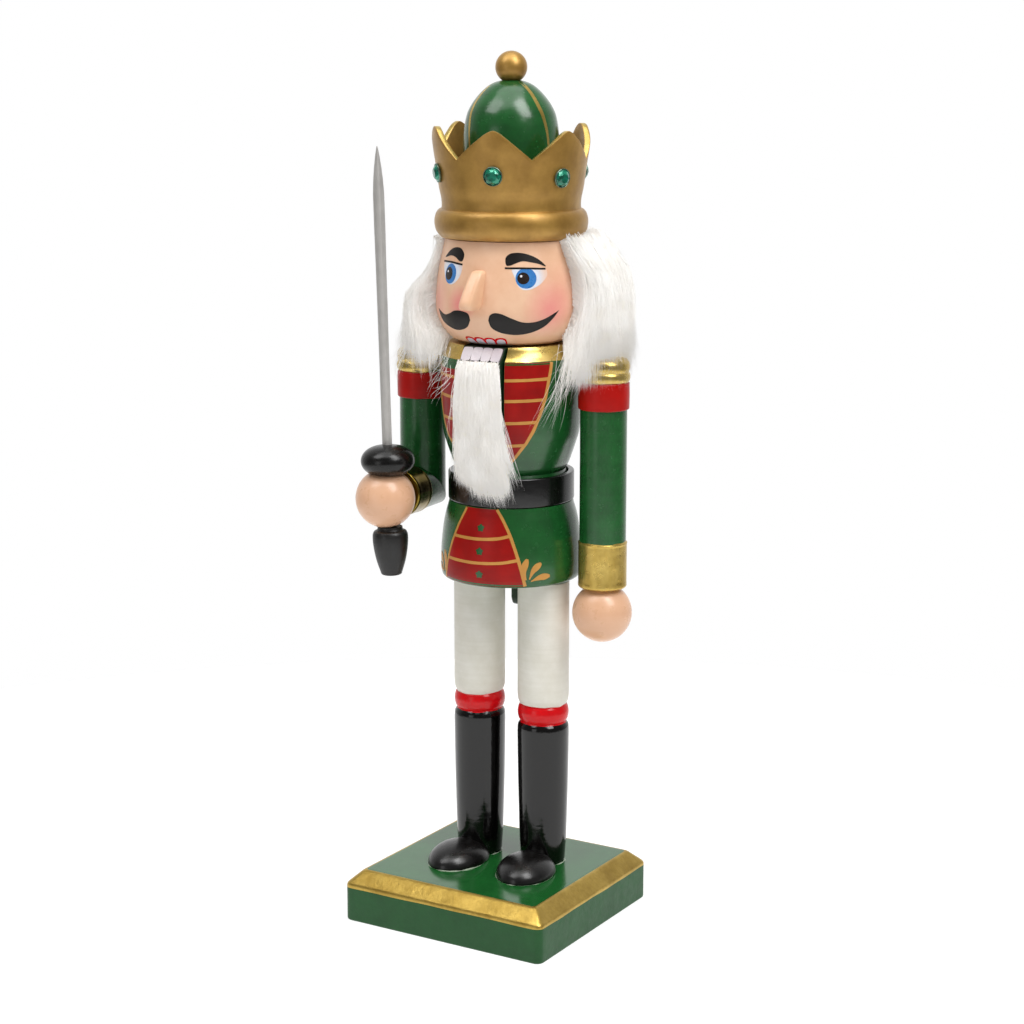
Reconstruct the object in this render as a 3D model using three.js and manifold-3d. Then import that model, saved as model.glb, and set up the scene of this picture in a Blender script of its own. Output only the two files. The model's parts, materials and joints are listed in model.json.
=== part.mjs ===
// Wooden nutcracker king: a turned figure on a bevelled base, with a lever that works the jaw.
// Millimetres, +Z up. The origin is the centre of the base's underside and the front faces -Y.
// Pieces of the figure are drawn about the figure's own upright axis, and one group sets them on the base.
import * as THREE from "three";
import { mergeVertices } from "three/addons/utils/BufferGeometryUtils.js";
import Module from "manifold-3d";

const wasm = await Module();
wasm.setup();

// ---- Driving dimensions ----

const GAP = 0.3; // between pieces that touch

const BASE = { width: 98.7, depth: 93.8, height: 22.7, bevelIn: 5.2, bevelDown: 6.95, corner: 2.5 };
const FIGURE = { x: 1.2, y: 11, turn: 5.5 }; // where the figure stands on the base, and its turn in degrees

const LEG_X = 15.75;
const HEM_Z = 152.3; // underside of the coat skirt, on top of the legs
const TOE = { halfWidth: 12.9, halfLength: 16.6, height: 8.4 };
const TOE_PLACES = {
  right: { x: -18.3, y: -17.2, turn: -1.5 },
  left: { x: 16.5, y: -19.8, turn: 8.5 },
};

const COLLAR_TOP = 257;
const CHEST_R = 30.7;
const BELT = { bottom: 187.9, top: 200.4, outer: 27.3, inner: 24.9 };
const SLOT_HALF = 10.5; // half the width of the lever's slot
const LEVER_HALF = 9.6;
const PIVOT = { y: -3, z: 240, pinR: 1.6, halfLength: 29.2 };

const HEAD_BOTTOM = 257.5;
const HEAD_TOP = 301.3;
const HEAD_R = 32.5;
const NECK_DOWEL = { x: 16.5, y: 5, r: 3 };

const CROWN_BOTTOM = 301.7;
const CROWN_FLOOR = 318.5;
const CROWN_TOP = 348.5;
const CROWN_VALLEY = 335.3;
const CROWN_POINTS = 6;
const CROWN_TURN = 11.3; // degrees from the front to the middle of the nearest point
const GEM = { r: 4, height: 1.9, z: 328.7, seatR: 32.4, tilt: 8 };

const DOME_TOP = 367.8;
const FINIAL = { r: 6.8, z: 373.2 };

const ARM_X = 43.9;
const ARM_TOP = 252.6;
const SHOULDER_Z = 247;
const SLEEVE_R = 10.1;
const HAND_R = 13;
const LEFT_CUFF = { bottom: 151.8, top: 170.5 };
const LEFT_HAND_Z = 140.4;
const ELBOW_Z = 189.6;
const FOREARM = { cuffStart: 8.1, cuffEnd: 23.2, hand: 34.8 }; // distances from the elbow, forwards

const SWORD = { offset: 1.8, lean: 1.5, width: 5.4, thickness: 1.7, tip: 151, taper: 118, root: 19 };
const GUARD = { r: 11.7, halfHeight: 6.9, z: 16.7 }; // above the middle of the hand
const POMMEL_TOP = -13.7;
const SPINDLE_R = 2;

const DOWEL_R = 2.5;
const SCREW = { r: 2, headR: 4, length: 36 };

const COLOURS = {
  green: [0x14552c, 0.3, 0],
  white: [0xe9e6df, 0.5, 0],
  black: [0x141212, 0.25, 0],
  gold: [0xb58a2e, 0.35, 0.6],
  skin: [0xf0c09c, 0.35, 0],
  fur: [0xf4f2ee, 0.9, 0],
  wood: [0xd8b98a, 0.7, 0],
  steel: [0xa9acb0, 0.35, 1],
  silver: [0x9a9a9c, 0.35, 0.9],
  gem: [0x0b7a5a, 0.1, 0],
};

// ---- Shape helpers ----

const rad = THREE.MathUtils.degToRad;

// A solid of revolution about Z from [radius, z] pairs that run from the bottom to the top.
function turned(profile, segments = 20) {
  const points = profile.map(([r, z]) => new THREE.Vector2(r, z));
  return new THREE.LatheGeometry(points, segments).rotateX(Math.PI / 2);
}

function rod(r, bottom, top, segments = 10) {
  return turned([[0, bottom], [r, bottom], [r, top], [0, top]], segments);
}

// Points [radius, z] of an ellipse's right-hand side, between two angles above its middle, in degrees.
function arc(r, halfHeight, z, from, to, steps) {
  const points = [];
  for (let i = 0; i <= steps; i++) {
    const a = rad(from + ((to - from) * i) / steps);
    points.push([r * Math.cos(a), z + halfHeight * Math.sin(a)]);
  }
  return points;
}

function ball(r, z, segments = 16) {
  const side = arc(r, r, z, -90, 90, segments / 2);
  side[0][0] = 0;
  side[side.length - 1][0] = 0;
  return turned(side, segments);
}

// A plate of the given outline in the YZ plane, from -half to half along X.
function sidePlate(outline, half) {
  const shape = new THREE.Shape(outline.map(([y, z]) => new THREE.Vector2(y, z)));
  const plate = new THREE.ExtrudeGeometry(shape, { depth: 2 * half, bevelEnabled: false, curveSegments: 6 });
  return plate.translate(0, 0, -half).applyMatrix4(new THREE.Matrix4().makeBasis(
    new THREE.Vector3(0, 1, 0),
    new THREE.Vector3(0, 0, 1),
    new THREE.Vector3(1, 0, 0),
  ));
}

// A closed skin over a stack of rings that have the same number of points, each ring a convex outline.
function loft(rings) {
  const count = rings[0].length;
  const ends = [rings[0], rings[rings.length - 1]].map((ring) =>
    ring.reduce((sum, p) => sum.add(p), new THREE.Vector3()).divideScalar(count),
  );
  const points = [...rings.flat(), ...ends];
  const index = [];
  const bottom = points.length - 2;
  const top = points.length - 1;
  for (let k = 0; k < count; k++) {
    const next = (k + 1) % count;
    index.push(bottom, next, k);
    for (let level = 0; level < rings.length - 1; level++) {
      const a = level * count;
      const b = a + count;
      index.push(a + k, a + next, b + k, a + next, b + next, b + k);
    }
    const last = (rings.length - 1) * count;
    index.push(top, last + k, last + next);
  }
  const skin = new THREE.BufferGeometry().setFromPoints(points);
  skin.setIndex(index);
  return skin;
}

function roundedRectangle(halfX, halfY, corner, z, steps = 3) {
  const ring = [];
  for (const [sx, sy, start] of [[1, 1, 0], [-1, 1, 90], [-1, -1, 180], [1, -1, 270]]) {
    for (let i = 0; i <= steps; i++) {
      const a = rad(start + (90 * i) / steps);
      const x = sx * (halfX - corner) + corner * Math.cos(a);
      const y = sy * (halfY - corner) + corner * Math.sin(a);
      ring.push(new THREE.Vector3(x, y, z));
    }
  }
  return ring;
}

// ---- Joining and cutting ----

function toSolid(geometry) {
  const bare = geometry.clone();
  bare.deleteAttribute("normal");
  bare.deleteAttribute("uv");
  const merged = mergeVertices(bare, 1e-4);
  const vertProperties = merged.attributes.position.array;
  const triVerts = new Uint32Array(merged.index.array);
  return new wasm.Manifold(new wasm.Mesh({ numProp: 3, vertProperties, triVerts }));
}

function toGeometry(solid) {
  const { vertProperties, triVerts } = solid.getMesh();
  const geometry = new THREE.BufferGeometry();
  geometry.setAttribute("position", new THREE.BufferAttribute(vertProperties, 3));
  geometry.setIndex(new THREE.BufferAttribute(triVerts, 1));
  return geometry;
}

function cut(geometry, ...tools) {
  return toGeometry(tools.reduce((solid, tool) => solid.subtract(toSolid(tool)), toSolid(geometry)));
}

function material(name) {
  const [color, roughness, metalness] = COLOURS[name];
  return new THREE.MeshStandardMaterial({ color, roughness, metalness });
}

function piece(name, geometry, colour) {
  const mesh = new THREE.Mesh(geometry, material(colour));
  mesh.name = name;
  return mesh;
}

const sides = [["right", -1], ["left", 1]];

// ---- Base, boots and legs ----

function baseBlock() {
  const { width, depth, height, bevelIn, bevelDown, corner } = BASE;
  const shoulder = height - bevelDown;
  const block = loft([
    roundedRectangle(width / 2, depth / 2, corner, 0),
    roundedRectangle(width / 2, depth / 2, corner, shoulder),
    roundedRectangle(width / 2 - bevelIn, depth / 2 - bevelIn, corner, height),
  ]);
  const holes = sides.map(([, sign]) => {
    const hole = screwShape(GAP, -1);
    hole.translate(sign * LEG_X, 0, 0).rotateZ(rad(FIGURE.turn));
    return hole.translate(FIGURE.x, FIGURE.y, 0);
  });
  return piece("base_block", cut(block, ...holes), "green");
}

// A countersunk wood screw that points up, or its hole when grown by the gap and started below the base.
function screwShape(grow, start = 0.6) {
  const sink = SCREW.headR - SCREW.r;
  return turned([
    [0, start],
    [SCREW.headR + grow, start],
    [SCREW.headR + grow, 1.2 + grow],
    [SCREW.r + grow, 1.2 + sink + grow],
    [SCREW.r + grow, SCREW.length + grow],
    [0, SCREW.length + 1.5 + grow],
  ], 12);
}

function legProfile() {
  const bottom = BASE.height + GAP;
  return [
    [0, bottom], [9.8, bottom], [10.5, 33], [11.2, 60], [11.5, 81],
    ...arc(2.2, 3.4, 84, 0, 80, 3).map(([r, z]) => [r + 9.3, z]), // rounded boot top
    [10.1, 88],
    ...arc(1.6, 3.8, 92, -65, 65, 4).map(([r, z]) => [r + 9.85, z]), // garter bead
    [10.2, 96.2], [11, 97.6], [11.4, 99.6],
    [11.4, HEM_Z - GAP], [0, HEM_Z - GAP],
  ];
}

function legs() {
  const hipDowel = rod(3, HEM_Z - 14, HEM_Z + 14);
  const pieces = sides.flatMap(([side, sign]) => {
    const post = cut(turned(legProfile(), 16), screwShape(GAP), rod(3 + GAP, HEM_Z - 14 - GAP, HEM_Z + 1));
    const set = [
      piece("leg_" + side, post, "white"),
      piece("base_screw_" + side, screwShape(0), "steel"),
      piece("hip_dowel_" + side, hipDowel.clone(), "wood"),
    ];
    set.forEach((mesh) => mesh.position.setX(sign * LEG_X));
    return set;
  });
  return pieces;
}

function bootToe(side, sign) {
  const { x, y, turn } = TOE_PLACES[side];
  const dome = arc(1, 1, 0, 0, 90, 5);
  dome[dome.length - 1][0] = 0;
  const egg = turned([[0, 0], ...dome], 20).scale(TOE.halfWidth, TOE.halfLength, TOE.height);
  egg.rotateZ(rad(turn)).translate(x, y, BASE.height + GAP);
  const bootRoom = rod(10.5 + 2 * GAP, BASE.height - 1, BASE.height + TOE.height + 3, 20);
  bootRoom.translate(sign * LEG_X, 0, 0);
  return piece("boot_toe_" + side, cut(egg, bootRoom), "black");
}

// ---- Torso, belt and lever ----

function torsoProfile() {
  return [
    [0, HEM_Z], [28.6, HEM_Z], [30.1, HEM_Z + 0.8], [30.8, HEM_Z + 2.6], // skirt hem
    [31, 161], [30.7, 168.5], [29.7, 177], [28.8, 181.5], [27.4, 186.4],
    [BELT.outer, BELT.bottom - GAP], [BELT.inner - GAP, BELT.bottom - GAP],
    [BELT.inner - GAP, BELT.top - 2], [23.7, 201.2],
    [25.2, 203.9], [26.8, 208.3], [28.3, 212.8], [29.6, 217.2], [30.3, 223], [CHEST_R, 232],
    [30.5, 245.9], [30.2, 250.6], // chest
    [29.9, 251.4], [28.6, 253], [27.5, 255], [26.8, COLLAR_TOP], [0, COLLAR_TOP], // collar cove
  ];
}

// The way cut through the torso for the lever, seen from the side as [y, z].
const SLOT_OUTLINE = [
  [-42, 270], [-42, 204], [5, 204], [17.5, 190], [17.5, 140], [42, 140], [42, 238], [22, 246], [8, 270],
];

function torsoPieces() {
  const slot = sidePlate(SLOT_OUTLINE, SLOT_HALF);
  const dowelHoles = sides.flatMap(([, sign]) => [
    rod(3 + GAP, HEM_Z - 1, HEM_Z + 14 + GAP).translate(sign * LEG_X, 0, 0),
    rod(NECK_DOWEL.r + GAP, COLLAR_TOP - 12 - GAP, COLLAR_TOP + 1)
      .translate(sign * NECK_DOWEL.x, NECK_DOWEL.y, 0),
    rod(DOWEL_R + GAP, 24 - GAP, 40).rotateY(sign * Math.PI / 2).translate(0, 0, SHOULDER_Z),
  ]);
  const body = cut(turned(torsoProfile(), 36), slot, ...dowelHoles, pivotRod(PIVOT.pinR + GAP, 40));
  const beltRing = turned([
    [BELT.inner, BELT.bottom], [BELT.outer - 0.6, BELT.bottom], [BELT.outer, BELT.bottom + 0.8],
    [BELT.outer, BELT.top - 0.8], [BELT.outer - 0.6, BELT.top], [BELT.inner, BELT.top],
    [BELT.inner, BELT.bottom],
  ], 36);
  return [
    piece("torso", body, "green"),
    piece("belt_band", cut(beltRing, slot), "black"),
    piece("pivot_pin", pivotRod(PIVOT.pinR, PIVOT.halfLength), "steel"),
  ];
}

function pivotRod(r, half) {
  return rod(r, -half, half).rotateY(Math.PI / 2).translate(0, PIVOT.y, PIVOT.z);
}

// The lever from the side: jaw with a forward-sloping front, a bar down past the pivot, and the tail.
const LEVER_OUTLINE = [
  [-26, COLLAR_TOP - 0.1], [-30.3, 251.7], [-30.3, 228], [-25, 222], [4, 214], [19.5, 196],
  [19.5, 137], [21, 134.2], [24, 133], [27, 134.2], [28.5, 137],
  [28.5, 208], [27, 222], [20, 235], [8, 247], [-4, COLLAR_TOP - 0.1],
];

function leverPieces() {
  const bar = cut(sidePlate(LEVER_OUTLINE, LEVER_HALF), pivotRod(PIVOT.pinR + GAP, 20));
  const width = 10.2;
  const beardShape = [
    [2, 5, 250.4], [5, 6, 246], [7, 7, 232], [7, 7, 214], [6, 6, 200], [3, 4, 192],
  ].map(([front, bulge, z]) => beardRing(width, front, bulge, z));
  return [
    piece("jaw_lever", bar, "green"),
    piece("beard", loft(beardShape.reverse()), "fur"),
  ];
}

// One level of the beard: flat at the back, rounded at the front.
function beardRing(half, side, front, z) {
  const back = -(CHEST_R + 0.7);
  return [
    new THREE.Vector3(half, back, z),
    new THREE.Vector3(-half, back, z),
    new THREE.Vector3(-half, back - side * 0.6, z),
    new THREE.Vector3(-half * 0.6, back - front, z),
    new THREE.Vector3(half * 0.6, back - front, z),
    new THREE.Vector3(half, back - side * 0.6, z),
  ];
}

// ---- Head ----

function headPieces() {
  const profile = [
    [0, HEAD_BOTTOM], [20.9, HEAD_BOTTOM], [24.1, 259], [26.3, 261.2], [29.7, 265.5], [31.9, 269.9],
    [HEAD_R, 274.2], [32, 282.9], [30.6, 291.5], [29.1, 297.9], [28.5, HEAD_TOP], [0, HEAD_TOP],
  ];
  const dowelHoles = sides.map(([, sign]) =>
    rod(NECK_DOWEL.r + GAP, HEAD_BOTTOM - 1, HEAD_BOTTOM + 12 + GAP)
      .translate(sign * NECK_DOWEL.x, NECK_DOWEL.y, 0),
  );
  const dowels = sides.map(([side, sign]) => {
    const dowel = piece("neck_dowel_" + side, rod(NECK_DOWEL.r, COLLAR_TOP - 12, HEAD_BOTTOM + 12), "wood");
    dowel.position.set(sign * NECK_DOWEL.x, NECK_DOWEL.y, 0);
    return dowel;
  });
  const block = cut(turned(profile, 32), ...dowelHoles, rod(4 + GAP, HEAD_TOP - 12 - GAP, HEAD_TOP + 1));
  return [piece("head", block, "skin"), ...dowels, nose(), wig()];
}

// A wedge that stands further out towards its rounded tip, with its back cut to the round of the face.
function nose() {
  const level = (z, out, half) => [
    new THREE.Vector3(half, -20, z), new THREE.Vector3(half, -out + 1.2, z),
    new THREE.Vector3(half * 0.5, -out, z), new THREE.Vector3(-half * 0.5, -out, z),
    new THREE.Vector3(-half, -out + 1.2, z), new THREE.Vector3(-half, -20, z),
  ].reverse();
  const wedge = loft([
    level(272.8, 38.6, 2.6), level(273.6, 40.8, 3.4), level(275.4, 41.8, 3.8),
    level(278, 41, 3.8), level(285, 37.4, 3.7), level(291.5, 33.2, 3.3),
  ]);
  const face = turned([
    [0, 260], [29.7 + GAP, 265.5], [31.9 + GAP, 269.9], [HEAD_R + GAP, 274.2], [32 + GAP, 282.9],
    [30.6 + GAP, 291.5], [29.1 + GAP, 297.9], [0, 300],
  ], 72);
  const mesh = piece("nose", cut(wedge, face), "skin");
  mesh.rotation.z = rad(0.7);
  return mesh;
}

// The hair as one thick band round the sides and back of the head, open over the face.
function wig() {
  const inner = HEAD_R + 1;
  const band = turned([
    [inner, 254.2], [44, 254.2], [48.5, 260], [50, 270], [48.5, 280], [44, 289], [38, 296.5], [inner, 300.4],
    [inner, 254.2],
  ], 28);
  const [from, to] = [-60, 78]; // the open part, in degrees from the front towards the left ear
  const reach = 90;
  const outline = [new THREE.Vector2(0, 0)];
  for (let i = 0; i <= 4; i++) {
    const a = rad(from + ((to - from) * i) / 4);
    outline.push(new THREE.Vector2(reach * Math.sin(a), -reach * Math.cos(a)));
  }
  const faceOpening = new THREE.ExtrudeGeometry(new THREE.Shape(outline), { depth: 70, bevelEnabled: false });
  return piece("wig", cut(band, faceOpening.translate(0, 0, 240)), "fur");
}

// ---- Crown, cap and finial ----

function crown() {
  const group = new THREE.Group();
  group.rotation.z = rad(CROWN_TURN);
  const cup = turned([
    [0, CROWN_BOTTOM], [29.6, CROWN_BOTTOM], [30.9, 302.6], [32.5, 305.2], [33, 308.2], [32.8, 310.3],
    [31.9, 312.9], [30.1, 313.6], [29.95, 314.6], [30, 318], [31, 323], [32.4, 333], [33.2, 338],
    [33.8, 343], [33.9, CROWN_TOP], [31.3, CROWN_TOP], [30.9, 340], [29.8, 333], [28.4, 323],
    [27.6, CROWN_FLOOR], [0, CROWN_FLOOR],
  ], 42);
  const half = 33.9 * Math.sin(Math.PI / CROWN_POINTS) - 0.5;
  const slope = (CROWN_TOP - CROWN_VALLEY) / half;
  const rise = 3;
  const notch = new THREE.Shape([
    new THREE.Vector2(0, CROWN_VALLEY),
    new THREE.Vector2(half + rise / slope, CROWN_TOP + rise),
    new THREE.Vector2(-half - rise / slope, CROWN_TOP + rise),
  ]);
  const notches = [];
  for (let i = 0; i < CROWN_POINTS; i++) {
    const tool = new THREE.ExtrudeGeometry(notch, { depth: 16, bevelEnabled: false });
    tool.rotateX(Math.PI / 2).translate(0, -24, 0);
    notches.push(tool.rotateZ(((i + 0.5) * 2 * Math.PI) / CROWN_POINTS));
  }
  const dowelHole = rod(4 + GAP, CROWN_BOTTOM - 1, CROWN_FLOOR + 1);
  group.add(piece("crown_cup", cut(cup, ...notches, dowelHole), "gold"));
  for (let i = 0; i < CROWN_POINTS; i++) group.add(gem(i));
  return group;
}

function gem(i) {
  const stone = turned([[0, 0], [GEM.r, 0], [GEM.r, 0.6], [GEM.r * 0.55, GEM.height], [0, GEM.height]], 10);
  stone.rotateX(Math.PI / 2 + rad(GEM.tilt)).translate(0, -GEM.seatR, GEM.z);
  const mesh = piece("gem_" + (i + 1), stone, "gem");
  mesh.rotation.z = (i * 2 * Math.PI) / CROWN_POINTS;
  return mesh;
}

function capPieces() {
  const bottom = CROWN_FLOOR + GAP;
  const egg = turned([
    [0, bottom], [16.8, bottom], [18.8, 323], [20.1, 331], [20.5, 339], [20.2, 346.8], [18.9, 353.5],
    [17.5, 356.3], [16.2, 358.5], [14.5, 361], [12.3, 363.5], [9.25, 366], [4.6, DOME_TOP], [0, DOME_TOP],
  ], 24);
  const dowel = [HEAD_TOP - 12, CROWN_FLOOR + 10];
  const dowelHole = rod(4 + GAP, bottom - 1, dowel[1] + GAP);
  const pinR = 1.2;
  const pin = [DOME_TOP - 8, FINIAL.z];
  const pinHole = rod(pinR + GAP, pin[0] - GAP, pin[1] + GAP, 8);
  const flat = -Math.asin((FINIAL.z - DOME_TOP - GAP) / FINIAL.r) * THREE.MathUtils.RAD2DEG;
  const side = arc(FINIAL.r, FINIAL.r, FINIAL.z, flat, 90, 8);
  side[side.length - 1][0] = 0;
  const knob = turned([[0, side[0][1]], ...side], 16);
  return [
    piece("crown_dowel", rod(4, ...dowel), "wood"),
    piece("cap_dome", cut(egg, dowelHole, pinHole), "green"),
    piece("finial_pin", rod(pinR, ...pin, 8), "steel"),
    piece("finial_ball", cut(knob, pinHole), "gold"),
  ];
}

// ---- Arms and hands ----

// Shoulder beads and red band, from the sleeve up, as [radius, z].
function shoulderProfile() {
  return [
    [SLEEVE_R, 229.6], [11, 230.4], [11.1, 236], [11, 241], [10.4, 241.8],
    [11.2, 243], [11.3, 244.6], [10.6, 246.2], [11, 247.4], [11, 249.4], [10, 251.2], [7.5, ARM_TOP],
    [0, ARM_TOP],
  ];
}

function shoulderHole(sign) {
  return rod(DOWEL_R + GAP, -20, 5 + GAP).rotateY(sign * Math.PI / 2).translate(0, 0, SHOULDER_Z);
}

function shoulderDowel(side, sign) {
  const dowel = rod(DOWEL_R, 24, ARM_X + 5).rotateY(sign * Math.PI / 2);
  return piece("shoulder_dowel_" + side, dowel.translate(0, 0, SHOULDER_Z), "wood");
}

function leftArm() {
  const group = new THREE.Group();
  group.position.x = ARM_X;
  const { bottom, top } = LEFT_CUFF;
  const wrist = [LEFT_HAND_Z + 3, bottom + 9];
  const wristHole = rod(DOWEL_R + GAP, wrist[0] - GAP, wrist[1] + GAP);
  const sleeve = turned([
    [0, bottom], [9.8, bottom], [10.6, bottom + 0.8], [10.4, bottom + 3], [10.4, top - 3], [10.6, top - 0.8],
    [SLEEVE_R, top], ...shoulderProfile(),
  ], 16);
  const hand = ball(HAND_R, LEFT_HAND_Z);
  const cuffRoom = rod(11, bottom - GAP, bottom + 10, 20);
  group.add(
    piece("arm_left", cut(sleeve, wristHole, shoulderHole(1)), "green"),
    piece("wrist_dowel_left", rod(DOWEL_R, ...wrist), "wood"),
    piece("hand_left", cut(hand, cuffRoom, wristHole), "skin"),
  );
  return group;
}

// A block that fills the far side of the elbow's mitre plane, set back from it by half the gap.
function mitreTool(side) {
  const size = 60;
  const block = new THREE.BoxGeometry(size, size, size).translate(0, 0, side * (size / 2 - GAP / 2));
  return block.rotateX(-Math.PI / 4).translate(0, 0, ELBOW_Z);
}

function rightArm() {
  const group = new THREE.Group();
  group.position.x = -ARM_X;
  const forwards = (geometry) => geometry.rotateX(Math.PI / 2).translate(0, 0, ELBOW_Z);
  const { cuffStart, cuffEnd, hand } = FOREARM;
  const upper = turned([[0, ELBOW_Z - 12], [SLEEVE_R, ELBOW_Z - 12], ...shoulderProfile()], 16);
  const fore = forwards(turned([
    [0, -12], [SLEEVE_R, -12], [SLEEVE_R, cuffStart], [10.6, cuffStart + 0.8], [10.4, cuffStart + 3],
    [10.4, cuffEnd - 3], [10.6, cuffEnd - 0.8], [9.8, cuffEnd], [0, cuffEnd],
  ], 16));
  const elbowRod = (grow) => rod(DOWEL_R + grow, -6 - grow, 6 + grow).rotateX(-Math.PI / 4).translate(0, 0, ELBOW_Z);
  const wrist = [cuffEnd - 9, hand - 3];
  const wristHole = forwards(rod(DOWEL_R + GAP, wrist[0] - GAP, wrist[1] + GAP));
  const cuffRoom = forwards(rod(11, cuffEnd - 10, cuffEnd + GAP, 20));
  const palm = forwards(ball(HAND_R, hand));
  const spindleHole = rod(SPINDLE_R + GAP, -20, 20).rotateY(-rad(SWORD.lean));
  spindleHole.translate(SWORD.offset, -hand, ELBOW_Z);
  group.add(
    piece("arm_right_upper", cut(upper, mitreTool(-1), elbowRod(GAP), shoulderHole(-1)), "green"),
    piece("elbow_dowel", elbowRod(0), "wood"),
    piece("forearm_right", cut(fore, mitreTool(1), elbowRod(GAP), wristHole), "green"),
    piece("wrist_dowel_right", forwards(rod(DOWEL_R, ...wrist)), "wood"),
    piece("hand_right", cut(palm, cuffRoom, wristHole, spindleHole), "skin"),
    sword(),
  );
  return group;
}

// ---- Sword, drawn about the middle of the hand ----

function sword() {
  const group = new THREE.Group();
  group.position.set(SWORD.offset, -FOREARM.hand, ELBOW_Z);
  group.rotation.y = -rad(SWORD.lean);
  const spindle = [POMMEL_TOP - 12, GUARD.z];
  const spindleHole = rod(SPINDLE_R + GAP, spindle[0] - GAP, spindle[1] + GAP);
  const bun = ball(1, 0, 20).scale(GUARD.r, GUARD.r, GUARD.halfHeight).translate(0, 0, GUARD.z);
  const palm = ball(HAND_R + GAP, 0, 24).translate(-SWORD.offset, 0, 0);
  const bladeSeat = new THREE.BoxGeometry(SWORD.width + 2 * GAP, SWORD.thickness + 2 * GAP, 10);
  bladeSeat.translate(0, 0, SWORD.root - GAP + 5);
  const grip = turned([
    [0, POMMEL_TOP - 20], [3.4, POMMEL_TOP - 20], [4.4, POMMEL_TOP - 19], [6.3, POMMEL_TOP - 14],
    [7.4, POMMEL_TOP - 8.5], [7.7, POMMEL_TOP - 4], [7.3, POMMEL_TOP - 1], [5.6, POMMEL_TOP], [0, POMMEL_TOP],
  ], 16);
  group.add(
    piece("sword_blade", blade(), "silver"),
    piece("sword_guard", cut(bun, palm, spindleHole, bladeSeat), "black"),
    piece("sword_spindle", rod(SPINDLE_R, ...spindle), "steel"),
    piece("sword_pommel", cut(grip, spindleHole), "black"),
  );
  return group;
}

// A straight blade with a ridge along each flat, narrowing to its point.
function blade() {
  const section = (z, share) => {
    const half = (SWORD.width / 2) * share;
    const thick = (SWORD.thickness / 2) * share;
    return [[half, 0], [0, thick], [-half, 0], [0, -thick]].map(([x, y]) => new THREE.Vector3(x, y, z));
  };
  return loft([section(SWORD.root, 1), section(SWORD.taper, 0.92), section(SWORD.tip, 0.08)]);
}

// ---- Assembly ----

const figure = new THREE.Group();
figure.position.set(FIGURE.x, FIGURE.y, 0);
figure.rotation.z = rad(FIGURE.turn);
figure.add(
  ...legs(),
  ...sides.map(([side, sign]) => bootToe(side, sign)),
  ...torsoPieces(),
  ...leverPieces(),
  ...headPieces(),
  crown(),
  ...capPieces(),
  ...sides.map(([side, sign]) => shoulderDowel(side, sign)),
  leftArm(),
  rightArm(),
);

const nutcracker = new THREE.Group();
nutcracker.add(baseBlock(), figure);

export default nutcracker;
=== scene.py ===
"""Looks of the nutcracker figure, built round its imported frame.

Shapes are written in millimetres about the figure's own upright axis, with its front towards -y.
Left and right are the figure's own. Painted shapes are placed by degrees from the front and height.
"""

import json
import math

import bpy
import numpy as np
from mathutils import Matrix, Vector
from mathutils.geometry import delaunay_2d_cdt


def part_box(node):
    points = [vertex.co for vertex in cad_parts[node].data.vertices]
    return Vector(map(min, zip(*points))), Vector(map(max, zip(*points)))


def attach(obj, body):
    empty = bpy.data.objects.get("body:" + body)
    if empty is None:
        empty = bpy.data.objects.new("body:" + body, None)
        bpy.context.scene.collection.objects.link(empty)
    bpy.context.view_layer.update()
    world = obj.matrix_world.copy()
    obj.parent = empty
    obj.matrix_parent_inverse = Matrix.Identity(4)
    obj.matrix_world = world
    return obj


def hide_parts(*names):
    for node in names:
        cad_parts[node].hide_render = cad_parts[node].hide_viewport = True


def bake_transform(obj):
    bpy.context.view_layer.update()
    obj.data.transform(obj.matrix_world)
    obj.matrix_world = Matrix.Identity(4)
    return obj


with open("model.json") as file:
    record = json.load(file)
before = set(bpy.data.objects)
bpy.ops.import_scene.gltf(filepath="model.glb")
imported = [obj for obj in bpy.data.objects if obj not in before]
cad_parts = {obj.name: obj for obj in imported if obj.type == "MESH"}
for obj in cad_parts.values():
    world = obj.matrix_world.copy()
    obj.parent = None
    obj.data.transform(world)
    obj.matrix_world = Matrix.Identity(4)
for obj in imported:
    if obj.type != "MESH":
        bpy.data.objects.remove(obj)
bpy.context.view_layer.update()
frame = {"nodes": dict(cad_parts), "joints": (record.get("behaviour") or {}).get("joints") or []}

for leftover in ("Cube", "Light", "Camera"):
    if leftover in bpy.data.objects and leftover not in frame["nodes"]:
        bpy.data.objects.remove(bpy.data.objects[leftover])

MM = 0.001
RNG = np.random.default_rng(11)

# The figure stands turned on its base: the hinge gives its turn, and the ball on its cap gives its axis.
HINGE = frame["joints"][0]
TURN = math.atan2(HINGE["axis"][1], HINGE["axis"][0])
AXIS = sum(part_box("finial_ball"), Vector()) / 2
FIGURE = Matrix.Translation((AXIS.x, AXIS.y, 0)) @ Matrix.Rotation(TURN, 4, "Z")


def spin(degrees, axis="Z"):
    return Matrix.Rotation(math.radians(degrees), 4, axis)


def shifted(x=0.0, y=0.0, z=0.0, turn=Matrix.Identity(4)):
    return FIGURE @ Matrix.Translation((x * MM, y * MM, z * MM)) @ turn


def z_range(node):
    """The bottom and the top of a CAD node."""
    return [corner.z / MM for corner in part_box(node)]


# ---- Outlines and profiles ----


def around(r, angle, z):
    """Points by distance from the axis, angle from the front and height."""
    return np.stack(np.broadcast_arrays(r * np.sin(angle), -r * np.cos(angle), z), -1)


def pairs(count):
    """Every index of a ring with the one after it."""
    return [(k, (k + 1) % count) for k in range(count)]


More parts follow.
